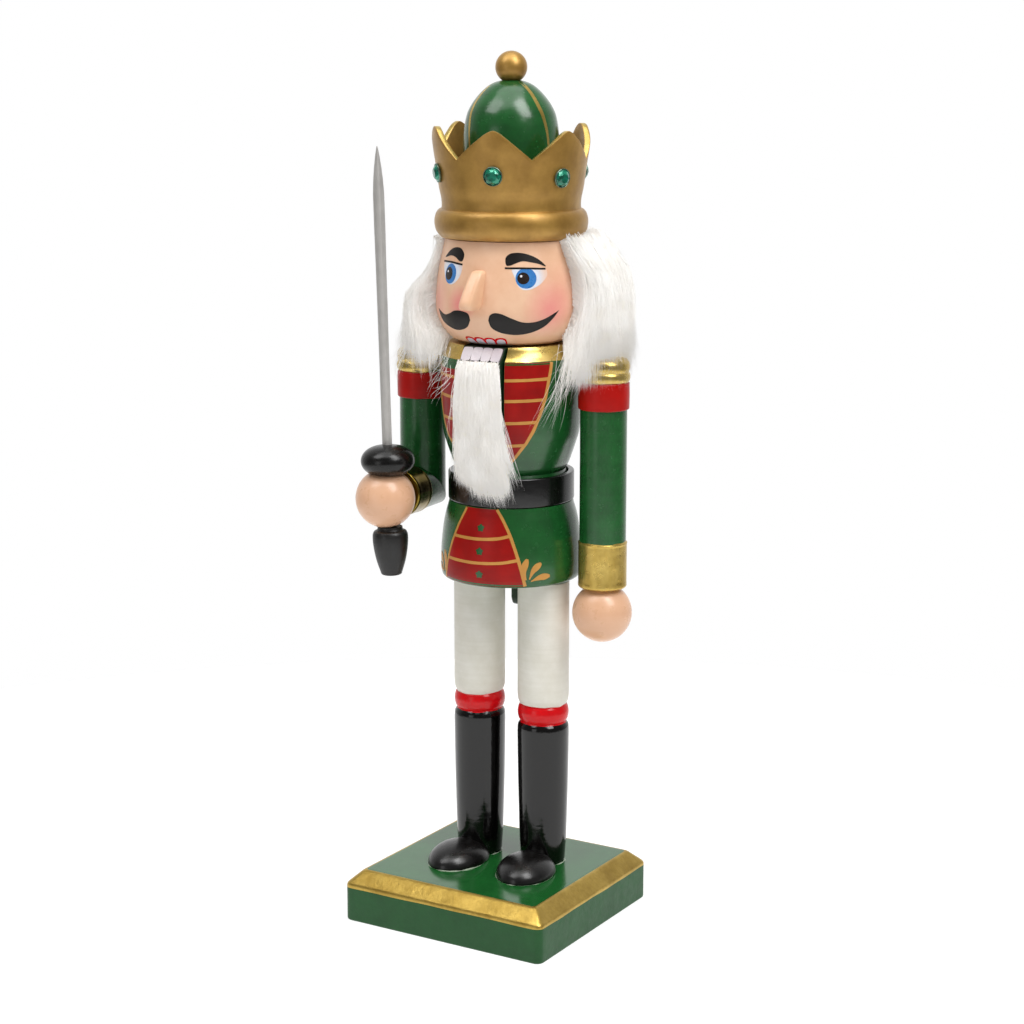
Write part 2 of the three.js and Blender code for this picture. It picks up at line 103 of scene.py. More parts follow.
def smooth(points, spacing=1.0, closed=False):
    """A curve through the points, with a new point about every spacing."""
    p = np.array(points, float)
    ends = [p[-1], *p, p[0], p[1]] if closed else [2 * p[0] - p[1], *p, 2 * p[-1] - p[-2]]
    out = [p[0]]
    for a, b, c, d in zip(ends, ends[1:], ends[2:], ends[3:]):
        k = [0.0]
        for u, v in ((a, b), (b, c), (c, d)):
            k.append(k[-1] + max(1e-4, math.sqrt(np.linalg.norm(v - u))))
        steps = max(2, math.ceil(np.linalg.norm(c - b) / spacing))
        t = np.linspace(k[1], k[2], steps + 1)[1:, None]

        def mix(lo, hi, u, v):
            return ((k[hi] - t) * u + (t - k[lo]) * v) / (k[hi] - k[lo])

        ab, bc, cd = mix(0, 1, a, b), mix(1, 2, b, c), mix(2, 3, c, d)
        out.extend(mix(1, 2, mix(0, 2, ab, bc), mix(1, 3, bc, cd)))
    return np.array(out[:-1] if closed else out)


def rounded(points, radius, steps=4):
    """The points joined by straight lines, with every inner corner rounded off."""
    p = [np.array(q, float) for q in points]
    out = [p[0]]
    for a, b, c in zip(p, p[1:], p[2:]):
        start, end = (b + way * min(0.45, radius / np.linalg.norm(way)) for way in (a - b, c - b))
        for t in np.linspace(0, 1, steps + 1):
            out.append((1 - t) ** 2 * start + 2 * t * (1 - t) * b + t * t * end)
    return np.array([*out, p[-1]])


def joined(*sections):
    """Sections end to end, without the points that repeat."""
    every = np.vstack([np.array(s, float) for s in sections])
    return every[np.concatenate(([True], np.linalg.norm(np.diff(every, axis=0), axis=1) > 1e-4))]


def loop(*sections, spacing=0.6):
    """A closed outline: one smooth loop, or several smooth lines that meet in corners."""
    if len(sections) == 1:
        return smooth(sections[0], spacing, closed=True)
    ring = joined(*[smooth(s, spacing) for s in sections])
    return ring[:-1] if np.linalg.norm(ring[0] - ring[-1]) < 1e-4 else ring


def ripple(angles, phase, waves=9):
    """A smooth closed wobble between about -1 and 1, for hand-painted edges."""
    k = np.arange(1, waves + 1)[:, None]
    return (np.sin(k * angles + phase * k * k) / k**0.5).sum(0) / 2.4


# ---- Pieces ----


def put(name, data):
    """A new object in the scene."""
    made = bpy.data.objects.new(name, data)
    bpy.context.scene.collection.objects.link(made)
    return made


def piece(name, verts, faces, materials, rows=None, place=FIGURE, body="figure", nodes=(), slot=None, angle=32):
    """A mesh in millimetres becomes a piece of the object. rows says which material each face has.

    A piece called NODE_painted replaces that node, unless nodes says otherwise.
    """
    mesh = bpy.data.meshes.new(name)
    mesh.from_pydata((np.asarray(verts, float) * MM).tolist(), [], [list(map(int, f)) for f in faces])
    for material in materials:
        mesh.materials.append(material)
    if rows is not None:
        mesh.polygons.foreach_set("material_index", np.asarray(rows, np.int32))
    mesh.polygons.foreach_set("use_smooth", np.ones(len(faces), bool))
    mesh.set_sharp_from_angle(angle=math.radians(angle))
    mesh.update()
    made = put(name, mesh)
    made.matrix_world = place
    if name.endswith("_painted") and not nodes:
        nodes = (name.removesuffix("_painted"),)
    if body:
        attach(made, body)
    if nodes:
        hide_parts(*nodes)
    return made


def tube(levels):
    """A closed solid through rings of points, from the bottom up: its bottom, its top, then its walls."""
    n = len(levels[0])
    last = (len(levels) - 1) * n
    faces = [list(range(n))[::-1], list(range(last, last + n))]
    faces += [[low + k, low + m, low + n + m, low + n + k] for low in range(0, last, n) for k, m in pairs(n)]
    return np.vstack(levels), faces


def lathe(profile, segments=128, wavy=()):
    """Vertices, faces and each face's height for a solid turned about z; wavy holds (height, swing, phase)."""
    angles = np.arange(segments) * 2 * math.pi / segments
    verts, rings = [], []
    for r, z in profile:
        if rings and np.allclose((r, z), profile[0], atol=1e-5):
            rings.append(rings[0])
        elif r < 1e-6:
            rings.append([len(verts)] * segments)
            verts.append((0, 0, z))
        else:
            heights = np.full(segments, z, float)
            for edge, swing, phase in wavy:
                if abs(z - edge) < 0.01:
                    heights += swing * ripple(angles, phase)
            rings.append(range(len(verts), len(verts) + segments))
            verts.extend(around(r, angles, heights))
    faces, middles = [], []
    for low, high, (_, z0), (_, z1) in zip(rings, rings[1:], profile, profile[1:]):
        faces += [list(dict.fromkeys((low[k], low[m], high[m], high[k]))) for k, m in pairs(segments)]
        middles += [(z0 + z1) / 2] * segments
    return np.array(verts), faces, np.array(middles)


def with_row(profile, height):
    """The profile with a point added at this height on its outer side."""
    profile = np.asarray(profile, float)
    found = [(a[0] + (b[0] - a[0]) * (height - a[1]) / (b[1] - a[1]), i)
             for i, (a, b) in enumerate(zip(profile, profile[1:]))
             if min(a[1], b[1]) < height < max(a[1], b[1])]
    if not found:
        return profile
    r, i = max(found, key=lambda place: place[0])
    return np.insert(profile, i + 1, (r, height), axis=0)


def turned(name, profile, zones, wavy=(), segments=128, shape=lambda verts: verts, **where):
    """A turned piece painted in zones, each (material, top of the zone), from the bottom up.

    shape may move its vertices.
    """
    limits = [top for _, top in zones[:-1]]
    for top in limits:
        profile = with_row(profile, top)
    verts, faces, middles = lathe(profile, segments, wavy)
    return piece(name, shape(verts), faces, [m for m, _ in zones], np.searchsorted(limits, middles), **where)


def carve(target, verts, faces, material=None, place=FIGURE):
    """Cuts a closed shape out of a piece; the new walls take the material."""
    tool = piece("tool", verts, faces, [material] if material else [], place=place, body=None)
    cutter = target.modifiers.new("carve", "BOOLEAN")
    cutter.object, cutter.operation, cutter.solver = tool, "DIFFERENCE", "MANIFOLD"
    cutter.material_mode = "TRANSFER" if material else "INDEX"
    graph = bpy.context.evaluated_depsgraph_get()
    mesh = bpy.data.meshes.new_from_object(target.evaluated_get(graph))
    target.modifiers.remove(cutter)
    target.data = mesh
    mesh.set_sharp_from_angle(angle=math.radians(32))
    bpy.data.objects.remove(tool)


def extruded(outline, half):
    """A plate with this (y, z) outline, from -half to half along x."""
    rings = [[(x, y, z) for y, z in outline] for x in (-half, half)]
    area = sum(a[0] * b[1] - b[0] * a[1] for a, b in zip(outline, [*outline[1:], outline[0]]))
    return tube(rings if area > 0 else [ring[::-1] for ring in rings])


def soften(made, width, angle):
    """Rounds the edges of a piece that are sharper than the angle."""
    edge = made.modifiers.new("edges", "BEVEL")
    edge.width, edge.segments, edge.limit_method, edge.angle_limit = width * MM, 2, "ANGLE", math.radians(angle)


# ---- Coats of paint that follow a surface ----


class Turned:
    """The outer side of a turned piece, addressed by degrees round it from the front and by height."""

    def __init__(self, profile, bottom, top):
        profile = np.asarray(profile, float)
        side = profile[(profile[:, 1] >= bottom - 0.01) & (profile[:, 1] <= top + 0.01)]
        self.r, self.z = side[np.argsort(side[:, 1], kind="stable")].T
        self.scale = math.radians(self.r.mean())

    def place(self, uv, lift):
        return around(np.interp(uv[:, 1], self.z, self.r) + lift, np.radians(uv[:, 0]), uv[:, 1])


class Flat:
    """A flat side, addressed in millimetres along its two directions."""

    scale = 1.0

    def __init__(self, origin, along, up):
        self.origin, self.along, self.up = (np.array(v, float) for v in (origin, along, up))
        self.out = np.cross(self.along, self.up)

    def place(self, uv, lift):
        return self.origin + uv[:, :1] * self.along + uv[:, 1:] * self.up + lift * self.out


def within(points, ring):
    """Which of the points lie inside the ring."""
    x, y = points[:, :1], points[:, 1:]
    ax, ay = ring.T
    bx, by = np.roll(ax, -1), np.roll(ay, -1)
    crosses = ((ay > y) != (by > y)) & (x < (bx - ax) * (y - ay) / (by - ay + 1e-12) + ax)
    return crosses.sum(1) % 2 == 1


SUNK = 0.12  # how far a coat of paint reaches into the piece below it


def coat_shell(surface, ring, lift, spacing):
    """A closed thin skin over the outline, just proud of the surface and sunk a little into it."""
    flat = ring * (surface.scale, 1)
    low, high = flat.min(0), flat.max(0)
    grid = np.stack(np.meshgrid(*(np.arange(a, b, spacing) for a, b in zip(low, high))), -1).reshape(-1, 2)
    grid = grid[within(grid, flat)]
    if len(grid):
        near = np.linalg.norm(grid[:, None] - flat[None], axis=2).min(1)
        grid = grid[near > 0.4 * spacing]
    points = [Vector(p) for p in np.vstack((flat, grid)).tolist()]
    made, _, tris, *_ = delaunay_2d_cdt(points, [], [list(range(len(flat)))], 1, 1e-5)
    uv = np.array([list(p) for p in made])
    tris = [list(t) for t in tris]
    a, b, c = uv[tris[0]]
    if np.cross(b - a, c - a) < 0:
        tris = [t[::-1] for t in tris]
    uv = uv / (surface.scale, 1)
    n = len(uv)
    edges = {(t[i], t[j]) for t in tris for i, j in pairs(3)}
    rim = sorted((i, j) for i, j in edges if (j, i) not in edges)
    faces = tris + [[n + i for i in t[::-1]] for t in tris] + [[n + i, n + j, j, i] for i, j in rim]
    return np.vstack((surface.place(uv, lift), surface.place(uv, -SUNK))), faces


def coat(name, surface, rings, material, lift=0.06, spacing=1.3, **where):
    """Painted shapes of one colour on a surface."""
    verts, faces, start = [], [], 0
    for ring in rings:
        v, f = coat_shell(surface, np.asarray(ring, float), lift, spacing)
        verts.append(v)
        faces += [[start + i for i in face] for face in f]
        start += len(v)
    return piece(name, np.vstack(verts), faces, [material], angle=50, **where)


def band(line, half):
    """The outline of a line that is this wide to either side."""
    way = np.gradient(line, axis=0)
    side = np.column_stack((-way[:, 1], way[:, 0])) / np.linalg.norm(way, axis=1)[:, None] * half[:, None]
    return np.vstack((line - side, (line + side)[::-1]))


def stripe(surface, points, width):
    """The outline of a brushed line of that width through the points."""
    line = smooth(np.array(points, float) * (surface.scale, 1), 0.6)
    swing = 0.06 * ripple(np.linspace(0, 5, len(line)), line[0, 0] + line[-1, 1])
    return band(line, width / 2 * (1 + swing)) / (surface.scale, 1)


def dot(surface, az, z, r, squash=1.0, points=36, star=0.0):
    """A round or star-shaped spot."""
    a = np.linspace(0, 2 * math.pi, points, endpoint=False)
    reach = r * (1 + star * np.cos(5 * a))
    return np.column_stack((az + reach * np.sin(a) / surface.scale, z + squash * reach * np.cos(a)))


# ---- Materials ----


def linear(code):
    """A web colour as linear red, green, blue and alpha."""
    parts = [int(code[i : i + 2], 16) / 255 for i in (0, 2, 4)]
    return [c / 12.92 if c <= 0.04045 else ((c + 0.055) / 1.055) ** 2.4 for c in parts] + [1.0]


class Nodes:
    """Short ways to add nodes to a tree. A socket is given a value, or joined to another node's socket."""

    def __init__(self, tree):
        self.tree = tree

    def plug(self, socket, value):
        if isinstance(value, bpy.types.NodeSocket):
            self.tree.links.new(value, socket)
        else:
            socket.default_value = value

    def add(self, kind, sockets=None, **settings):
        made = self.tree.nodes.new("ShaderNode" + kind)
        for key, value in settings.items():
            setattr(made, key, value)
        for key, value in (sockets or {}).items():
            self.plug(made.inputs[key], value)
        return made

    def ramp(self, value, low, high, to_low=0.0, to_high=1.0):
        sockets = {"Value": value, "From Min": low, "From Max": high, "To Min": to_low, "To Max": to_high}
        return self.add("MapRange", sockets, clamp=True).outputs["Result"]


class Shader(Nodes):
    """A material with a principled shader."""

    def __init__(self, name, **sockets):
        self.material = bpy.data.materials.new(name)
        self.material.use_nodes = True
        super().__init__(self.material.node_tree)
        self.drive(**sockets)
        self.place = self.add("TexCoord").outputs["Object"]

    def drive(self, **sockets):
        for key, value in sockets.items():
            self.plug(self.tree.nodes["Principled BSDF"].inputs[key.replace("_", " ")], value)

    def noise(self, scale, stretch=(1, 1, 1), detail=4.0, rough=0.6):
        moved = self.add("Mapping", {"Vector": self.place, "Scale": stretch}).outputs[0]
        sockets = {"Vector": moved, "Scale": scale, "Detail": detail, "Roughness": rough}
        return self.add("TexNoise", sockets).outputs["Fac"]

    def mix(self, share, first, second):
        return self.add("Mix", {0: share, 6: first, 7: second}, data_type="RGBA").outputs[2]

    def away(self, spot):
        """Distance from a point."""
        sockets = {0: self.place, 1: Vector(spot) * MM}
        return self.add("VectorMath", sockets, operation="DISTANCE").outputs["Value"]

    def bump(self, *layers):
        """Each layer is (height, depth in millimetres)."""
        normal = None
        for height, depth in layers:
            sockets = {"Height": height, "Distance": depth * MM, "Strength": 1.0}
            if normal:
                sockets["Normal"] = normal
            normal = self.add("Bump", sockets).outputs[0]
        self.drive(Normal=normal)


EVEN = (1, 1, 1)
TURNING = (22, 22, 620)  # lathe lines: long round the piece, fine along it
ALONG = (520, 520, 26)  # grain or brush marks that run up and down


def paint(name, colour, deep, rough=0.3, metal=0.0, coated=0.0, marks=TURNING, tone=(0.3, 0.7), depth=0.012,
          specks=None, coat_rough=0.12, sheen=0.5):
    """Paint on turned wood: two tones of one colour, lathe or brush marks, orange peel and uneven gloss."""
    s = Shader(name, Metallic=metal, Coat_Weight=coated, Coat_Roughness=coat_rough, Specular_IOR_Level=sheen)
    colour_now = s.mix(s.ramp(s.noise(95, detail=5), *tone, 0.25, 0.9), linear(deep), linear(colour))
    lines = s.noise(1, marks, detail=3)
    colour_now = s.mix(s.ramp(lines, 0.42, 0.72, 0, 0.3), colour_now, linear(deep))
    if specks:
        dust = s.ramp(s.noise(900, detail=1, rough=0.3), 0.76, 0.82)
        colour_now = s.mix(dust, colour_now, linear(specks))
    gloss = s.ramp(s.noise(260, detail=3), 0.3, 0.7, max(0.03, rough - 0.05), rough + 0.05)
    s.drive(Base_Color=colour_now, Roughness=gloss)
    s.bump((lines, depth), (s.noise(420, detail=2), depth * 1.4), (s.noise(70, detail=1), depth * 5))
    return s.material


GREEN = paint("green_gloss", "1c6029", "123f1b", 0.24, coated=0.2, coat_rough=0.15, specks="2c7a42", depth=0.03)
DARK_GREEN = paint("green_inner", "0f3319", "082411", 0.4)
BASE_GREEN = paint("green_base", "1c6029", "164d20", 0.17, coated=0.25, marks=(30, 420, 420), depth=0.008,
                   sheen=0.45)
# The sides of the base take a darker copy of the top's green as painted shade, with a rougher finish and no clear coat.
BASE_SIDE_SHADED = paint("green_base_side_shaded", "1a5426", "14441d", 0.42, marks=(700, 700, 700), depth=0.06, sheen=0.3)
RED = paint("red_gloss", "b8120b", "980d08", 0.34, sheen=0.2, depth=0.02)
DARK_RED = paint("red_panel", "a8120c", "7b0a08", 0.34, sheen=0.22, marks=(60, 60, 300), depth=0.02)
BEAD_RED = paint("red_bead", "e21119", "bd0c13", 0.2, sheen=0.3, depth=0.03)
WHITE = paint("white_satin", "ebe8df", "d6d2c3", 0.5, depth=0.045)
BLACK = paint("black_gloss", "0c0b0a", "050404", 0.12, coated=0.1, coat_rough=0.06, specks="2a2826", depth=0.035,
              sheen=0.42)
TOE_BLACK = paint("black_toe", "0f0d0c", "070606", coated=0.1, coat_rough=0.2, specks="3a3735", depth=0.04)
GUARD_BLACK = paint("black_guard", "100f0e", "080707", 0.27, coated=0.1, coat_rough=0.2, depth=0.02, sheen=0.35)
MATT_BLACK = paint("black_satin", "191817", "0c0c0b", 0.42, marks=ALONG, depth=0.03)
BELT = paint("belt_gloss", "0c0b0a", "050505", 0.24, coated=0.12, marks=(40, 40, 200), depth=0.02)
GOLD = paint("gold_matte", "bb9145", "936c2b", 0.44, 0.6, coated=0.3, coat_rough=0.3, marks=(160, 160, 160),
             tone=(0.35, 0.65))
BRIGHT_GOLD = paint("gold_bright", "dcc47c", "b9983f", 0.28, 0.85, marks=(60, 60, 240), depth=0.03)
BEVEL_GOLD = paint("gold_bevel", "c8a955", "8f7128", 0.36, 0.8, marks=(650, 650, 650), depth=0.06)
CUFF_GOLD = paint("gold_brushed", "d8bd6c", "a58432", 0.3, 0.85, marks=(330, 330, 45), depth=0.07)
# The right cuff's gold is painted darker than the left's, as painted shade for the dark coat mirrored in it; it is also
# smoother and fully metallic.
SHADED_CUFF = paint("gold_cuff_shaded", "8f7a35", "5e4d1c", 0.22, 1.0, marks=(120, 120, 300), depth=0.02)
OCHRE = paint("gold_line", "d29a4a", "b97f38", 0.45, 0.15, marks=(200, 200, 200))
SILVER = paint("silver_paint", "cfccc8", "b2afab", 0.4, 0.5, marks=ALONG, depth=0.02)
SKIN = paint("skin_satin", "e7b997", "dcaa86", coated=0.12)
GLUE = paint("dried_glue", "b3bfaa", "74876f")
TOOTH = paint("tooth_white", "e2dade", "c9c0c8")
INK = paint("ink_black", "181716", "24201f", 0.38, sheen=0.25)
BROWN = paint("line_brown", "2c1d16", "1d120d", 0.4)
# The white of the eyes' glints, a painted highlight.
EYE_GLINT = paint("eye_white", "f3efee", "e3e6ee")
IRIS = paint("iris_blue", "3f84c8", "2a68ac", 0.28)
PUPIL = paint("pupil_brown", "2c1f1a", "161210", 0.25)
WOOD = paint("bare_beech", "d9b98c", "c39e6c", 0.6, marks=ALONG, depth=0.04)
GEM_CUP = paint("gem_cup", "7d9484", "4a6152", metal=0.7)
STEEL = paint("bright_steel", "b9babd", "96989b", metal=1.0)


def skin(name, deep, light, blushes_and_shade, blush_and_shade_tint, gloss_detail, layers, squared=False):
    """Skin paint with soft pink spots, each (place, where it starts to fade, where it ends, strength); they are
    blushes, and beside the nose painted shade.

    layers are the bumps in it, each (scale, stretch, detail, depth in millimetres).
    """
    s = Shader(name, Coat_Weight=0.1, Coat_Roughness=0.1)
    tint = s.mix(s.ramp(s.noise(95, detail=5), 0.36, 0.68), linear(deep), linear(light))
    for spot, start, end, strength in blushes_and_shade:
        glow = s.ramp(s.away(spot), start * MM, end * MM, strength, 0)
        if squared:
            glow = s.add("Math", {0: glow, 1: glow}, operation="MULTIPLY").outputs[0]
        tint = s.mix(glow, tint, linear(blush_and_shade_tint))
    s.drive(Base_Color=tint, Roughness=s.ramp(s.noise(260, detail=gloss_detail), 0.3, 0.7, 0.3, 0.4))
    s.bump(*[(s.noise(scale, stretch, detail=detail), depth) for scale, stretch, detail, depth in layers])
    return s.material


CHEEK_R, EYE_R = 32.4, 31.4  # how far cheeks and eyes lie from the axis
# Cheek blushes, and at -16 degrees the pink beside the nose on its side turned from the key light, which is painted
# shade.
FACE_BLUSHES_AND_SHADE = ((56.0, 272.8, 13.0, 0.5), (-48, 276.0, 12, 0.36), (-16, 275.0, 8.5, 0.6), (66, 280, 15, 0.2))
FACE_SKIN = skin("skin_face", "e8b895", "f0c5a4",
                 [(around(CHEEK_R, math.radians(az), z), 1.5, end, power) for az, z, end, power in FACE_BLUSHES_AND_SHADE],
                 "ea6a7c", 3, ((1, TURNING, 3, 0.01), (420, EVEN, 2, 0.015), (70, EVEN, 1, 0.06)))
# The pink on the nose's own side turned from the key light is painted shade too.
NOSE_SKIN = skin("skin_nose", "e8b893", "f2c8a4", [((-6.0, -36.5, 275.5), 0, 8.0, 0.95)], "e2415c", 4,
                 ((420, EVEN, 2, 0.015), (90, EVEN, 1, 0.05)), squared=True)


def eye_white(side, az, z):
    """White that fades into the skin further from the iris."""
    s = Shader(f"eye_white_{side}", Roughness=0.32)
    tint = s.mix(s.ramp(s.noise(300), 0.3, 0.7), linear("d3dbea"), linear("e6e7ee"))
    fade = s.ramp(s.away(around(EYE_R, math.radians(az), z)), 5.4 * MM, 8.8 * MM, 0, 0.85)
    s.drive(Base_Color=s.mix(fade, tint, linear("edc6ab")))
    return s.material


def gem_material():
    s = Shader("gem_green", Metallic=0.4, Roughness=0.2, Coat_Weight=0.6, Coat_Roughness=0.05)
    s.drive(Base_Color=s.mix(s.ramp(s.noise(320, detail=2), 0.35, 0.65), linear("0a4e3c"), linear("149070")))
    return s.material


def fur_material(name, root, tip):
    """White fibres, with a faint even painted glow in their emission that stands in for light scattering from fibre to
    fibre.
    """
    s = Shader(name, Roughness=0.65, Sheen_Weight=0.2, Sheen_Roughness=0.5, Emission_Color=(1.0, 0.97, 0.93, 1.0),
               Emission_Strength=0.16)
    s.drive(Base_Color=s.mix(s.ramp(s.noise(140, detail=4), 0.35, 0.65), linear(root), linear(tip)))
    s.bump((s.noise(1, (900, 900, 60), detail=3), 0.1))
    return s.material


GEM = gem_material()
FUR = fur_material("fur_white", "f1eee9", "fbfaf8")
UNDERFUR = fur_material("fur_under", "ebe7e0", "f6f4f0")

# ---- Base ----

LOW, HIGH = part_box("base_block")
BASE_HALF = ((HIGH.x - LOW.x) / 2 / MM + 1.3, (HIGH.y - LOW.y) / 2 / MM + 0.8)
BASE_BACK = 0.8  # how far the block sits back from the axis
BASE_TOP = HIGH.z / MM
BEVEL_IN, BEVEL_DOWN, BASE_CORNER = 6.0, 5.7, 3.2
GOLD_DROP = 1.5  # how far the gold runs down the sides below the bevel
LEG_X = 15.75


def rounded_square(inset, z, swing):
    """One level of the base, with a point about every 2 mm."""
    hx, hy = BASE_HALF[0] - inset, BASE_HALF[1] - inset
    corner = max(0.6, BASE_CORNER - inset * 0.2)
    ring = []
    for sx, sy, start in ((1, -1, -90), (1, 1, 0), (-1, 1, 90), (-1, -1, 180)):
        for t in np.radians(start + np.linspace(0, 90, 9)):
            ring.append((sx * (hx - corner) + corner * math.cos(t), sy * (hy - corner) + corner * math.sin(t)))
    full = []
    for a, b in zip(ring, ring[1:] + ring[:1]):
        steps = 46 if math.dist(a, b) > 40 else 1
        full += [(a[0] + (b[0] - a[0]) * i / steps, a[1] + (b[1] - a[1]) * i / steps) for i in range(steps)]
    wave = swing * ripple(np.linspace(0, 2 * math.pi, len(full), endpoint=False), 1.7, 24)
    return [(x, y + BASE_BACK, z + w) for (x, y), w in zip(full, wave)]


def base():
    shoulder = BASE_TOP - BEVEL_DOWN
    gold_from = shoulder - GOLD_DROP
    side = rounded([(2.0, 0), (0, 0), (0, shoulder), (BEVEL_IN, BASE_TOP), (BEVEL_IN + 3, BASE_TOP)], 1.0).tolist()
    side.insert(next(i for i, (_, z) in enumerate(side) if z > gold_from), [0, gold_from])
    levels = [rounded_square(inset, z, 0.22 if z == gold_from else 0) for inset, z in side]
    verts, faces = tube(levels)
    # Faces below the gold, and the bottom, take the darker side green: painted shade.
    rows = [2, 0]
    for row, (_, z) in enumerate(side[:-1]):
        gold = z >= gold_from - 0.01 and row < len(side) - 2
        rows += [1 if gold else 2 if z < gold_from else 0] * len(levels[0])
    made = piece("base_painted", verts, faces, [BASE_GREEN, BEVEL_GOLD, BASE_SIDE_SHADED], rows, Matrix.Identity(4),
                 nodes=("base_block",), slot="green_paint", angle=24)
    for sign in (-1, 1):
        screw_hole = lathe([(0, -1), (4.3, -1), (4.3, 1.5), (2.3, 3.5), (2.3, 36.3), (0, 37.8)], 32)
        carve(made, *screw_hole[:2], WOOD, shifted(x=sign * LEG_X))


base()

# ---- Legs and boots ----

LEG_FOOT, LEG_TOP = z_range("leg_left")
HEM = z_range("torso")[0] + 1.0
BOOT_TOP, GARTER_TOP = 87.6, 95.9
LEG_R = 10.0  # at the foot
TOE = (12.9, 16.6, 8.4)  # half a boot toe's width, half its length, and its height


def leg_profile(up):
    """A turned leg. The garter of the right one was cut a little higher than that of the left one."""
    return joined(
        [(0, LEG_FOOT)],
        rounded([(9.0, LEG_FOOT), (9.9, LEG_FOOT + 0.6), (10.5, 33)], 0.5),
        smooth([(10.5, 33), (11.2, 60), (11.5, 79 + up), (11.5, 84 + up), (11.2, 86.4 + up), (10.4, BOOT_TOP + up),
                (10.1, 88 + up)], 1.2),
        smooth([(10.1, 88 + up), (10.9, 89.2 + up), (11.4, 91.6 + up), (11.35, 93 + up), (10.9, 94.9 + up),
                (10.2, GARTER_TOP + up)], 0.5),
        smooth([(10.2, GARTER_TOP + up), (10.7, 96.7 + up), (11.15, 98 + up), (11.4, 100.2 + up), (11.4, 112),
                (11.4, LEG_TOP)], 0.8),
        [(0, LEG_TOP)],
    )


def glue_line(node, half_x, half_y, place, phase):
    """A thin uneven bead of dried glue round the foot of a part."""
    t = np.linspace(0, 2 * math.pi, 144, endpoint=False)
    thick = np.maximum(0.03, 0.08 + 0.4 * ripple(t, phase, 14))
    verts, sides, n = [], 6, len(t)
    for k in range(sides):
        a = k * 2 * math.pi / sides
        out = thick * math.cos(a)
        height = BASE_TOP + 0.05 + 0.8 * thick * math.sin(a)
        verts.append(np.column_stack(((half_x + out) * np.cos(t), (half_y + out) * np.sin(t), height)))
    faces = [[k * n + i, k * n + j, m * n + j, m * n + i] for k, m in pairs(sides) for i, j in pairs(n)]
    piece(f"{node}_glue", np.vstack(verts), faces, [GLUE], place=place, angle=60, nodes=(node,), slot="white_paint")


def boot_toe(side, x, y, turn):
    """Half an egg, a little narrower towards its front."""
    quarter = [(math.cos(t), math.sin(t)) for t in np.linspace(0.02, 1.5, 26)]
    verts, faces, _ = lathe(joined([(0, 0), (0.97, 0), (0.995, 0.02)], quarter, [(0, 1)]), 96)
    verts = verts * TOE
    verts[:, 2] += BASE_TOP + 0.3
    verts[:, 0] *= 1 - 0.06 * np.clip(-verts[:, 1] / TOE[1], -1, 1)
    place = shifted(x=x, y=y, turn=spin(turn))
    piece(f"boot_toe_{side}_painted", verts, faces, [TOE_BLACK], place=place, slot="black_paint")
    glue_line(f"boot_toe_{side}", TOE[0] * 0.985, TOE[1] * 0.99, place, 2.0 + x)


for side, sign, up in (("right", -1, 2.6), ("left", 1, 0.2)):
    zones = [(BLACK, BOOT_TOP + up), (BEAD_RED, GARTER_TOP + up), (WHITE, None)]
    wavy = [(BOOT_TOP + up, 0.35, 2.1 + sign), (GARTER_TOP + up, 0.55, 0.7 + sign)]
    turned(f"leg_{side}_painted", leg_profile(up), zones, wavy, place=shifted(x=sign * LEG_X), slot="white_paint")
for side, sign in (("right", -1), ("left", 1)):
    glue_line(f"leg_{side}", LEG_R, LEG_R, shifted(x=sign * LEG_X), 1.3 + sign)
boot_toe("right", -18.3, -17.2, -1.5)
boot_toe("left", 16.5, -19.8, 8.5)

# ---- Torso and belt ----

COLLAR_TOP = z_range("torso")[1]
COLLAR_LINE = 251.1  # where the gold of the collar meets the green of the coat
BELT_LOW, BELT_HIGH = z_range("belt_band")
BELT_R, BELT_INNER = 27.6, 24.9
GROOVE_R = BELT_INNER - 0.3  # of the waist under the belt
SLOT_HALF = 10.5

skirt = joined(
    smooth([(28.2, HEM), (29.6, HEM + 0.25), (30.4, HEM + 1.1), (30.8, HEM + 2.7)], 0.5),
    smooth([(30.8, HEM + 2.7), (31, 161.5), (30.7, 168.5), (29.7, 177), (28.8, 181.5), (27.4, 186.4),
            (27.2, BELT_LOW - 0.3)], 0.9),
)
chest = joined(
    smooth([(23.7, 201.2), (25.2, 203.9), (26.8, 208.3), (28.3, 212.8), (29.6, 217.2), (30.3, 223), (30.7, 232),
            (30.55, 245.9), (30.3, 250.2)], 0.9),
    smooth([(30.3, 250.2), (29.9, 251.2), (28.8, 252.6), (27.8, 254.4), (27.1, 256.2), (26.6, COLLAR_TOP)], 0.4),
)
torso_profile = joined(
    [(0, HEM)], skirt, [(GROOVE_R, BELT_LOW - 0.3), (GROOVE_R, BELT_HIGH - 1.5)], chest,
    [(0, COLLAR_TOP)],
)
torso = turned("torso_painted", torso_profile, [(GREEN, COLLAR_LINE), (BRIGHT_GOLD, None)],
               [(COLLAR_LINE, 0.12, 0.4)], 192, slot="green_paint")
slot_shape = extruded([(-42, 270), (-42, 204), (5, 204), (17.5, 190), (17.5, 140), (42, 140), (42, 238), (22, 246),
                       (8, 270)], SLOT_HALF)
carve(torso, *slot_shape, DARK_GREEN)

belt_profile = rounded([(BELT_INNER, BELT_LOW), (BELT_R, BELT_LOW), (BELT_R, BELT_HIGH), (BELT_INNER, BELT_HIGH),
                        (BELT_INNER, BELT_LOW)], 0.7)
belt_profile = np.vstack((belt_profile[2:], belt_profile[2:3]))
belt = turned("belt_band_glossy", belt_profile, [(BELT, None)], segments=160, nodes=("belt_band",), slot="belt")
carve(belt, *slot_shape)

CHEST = Turned(chest, 201, COLLAR_TOP)
SKIRT = Turned(skirt, HEM + 0.6, BELT_LOW - 0.3)


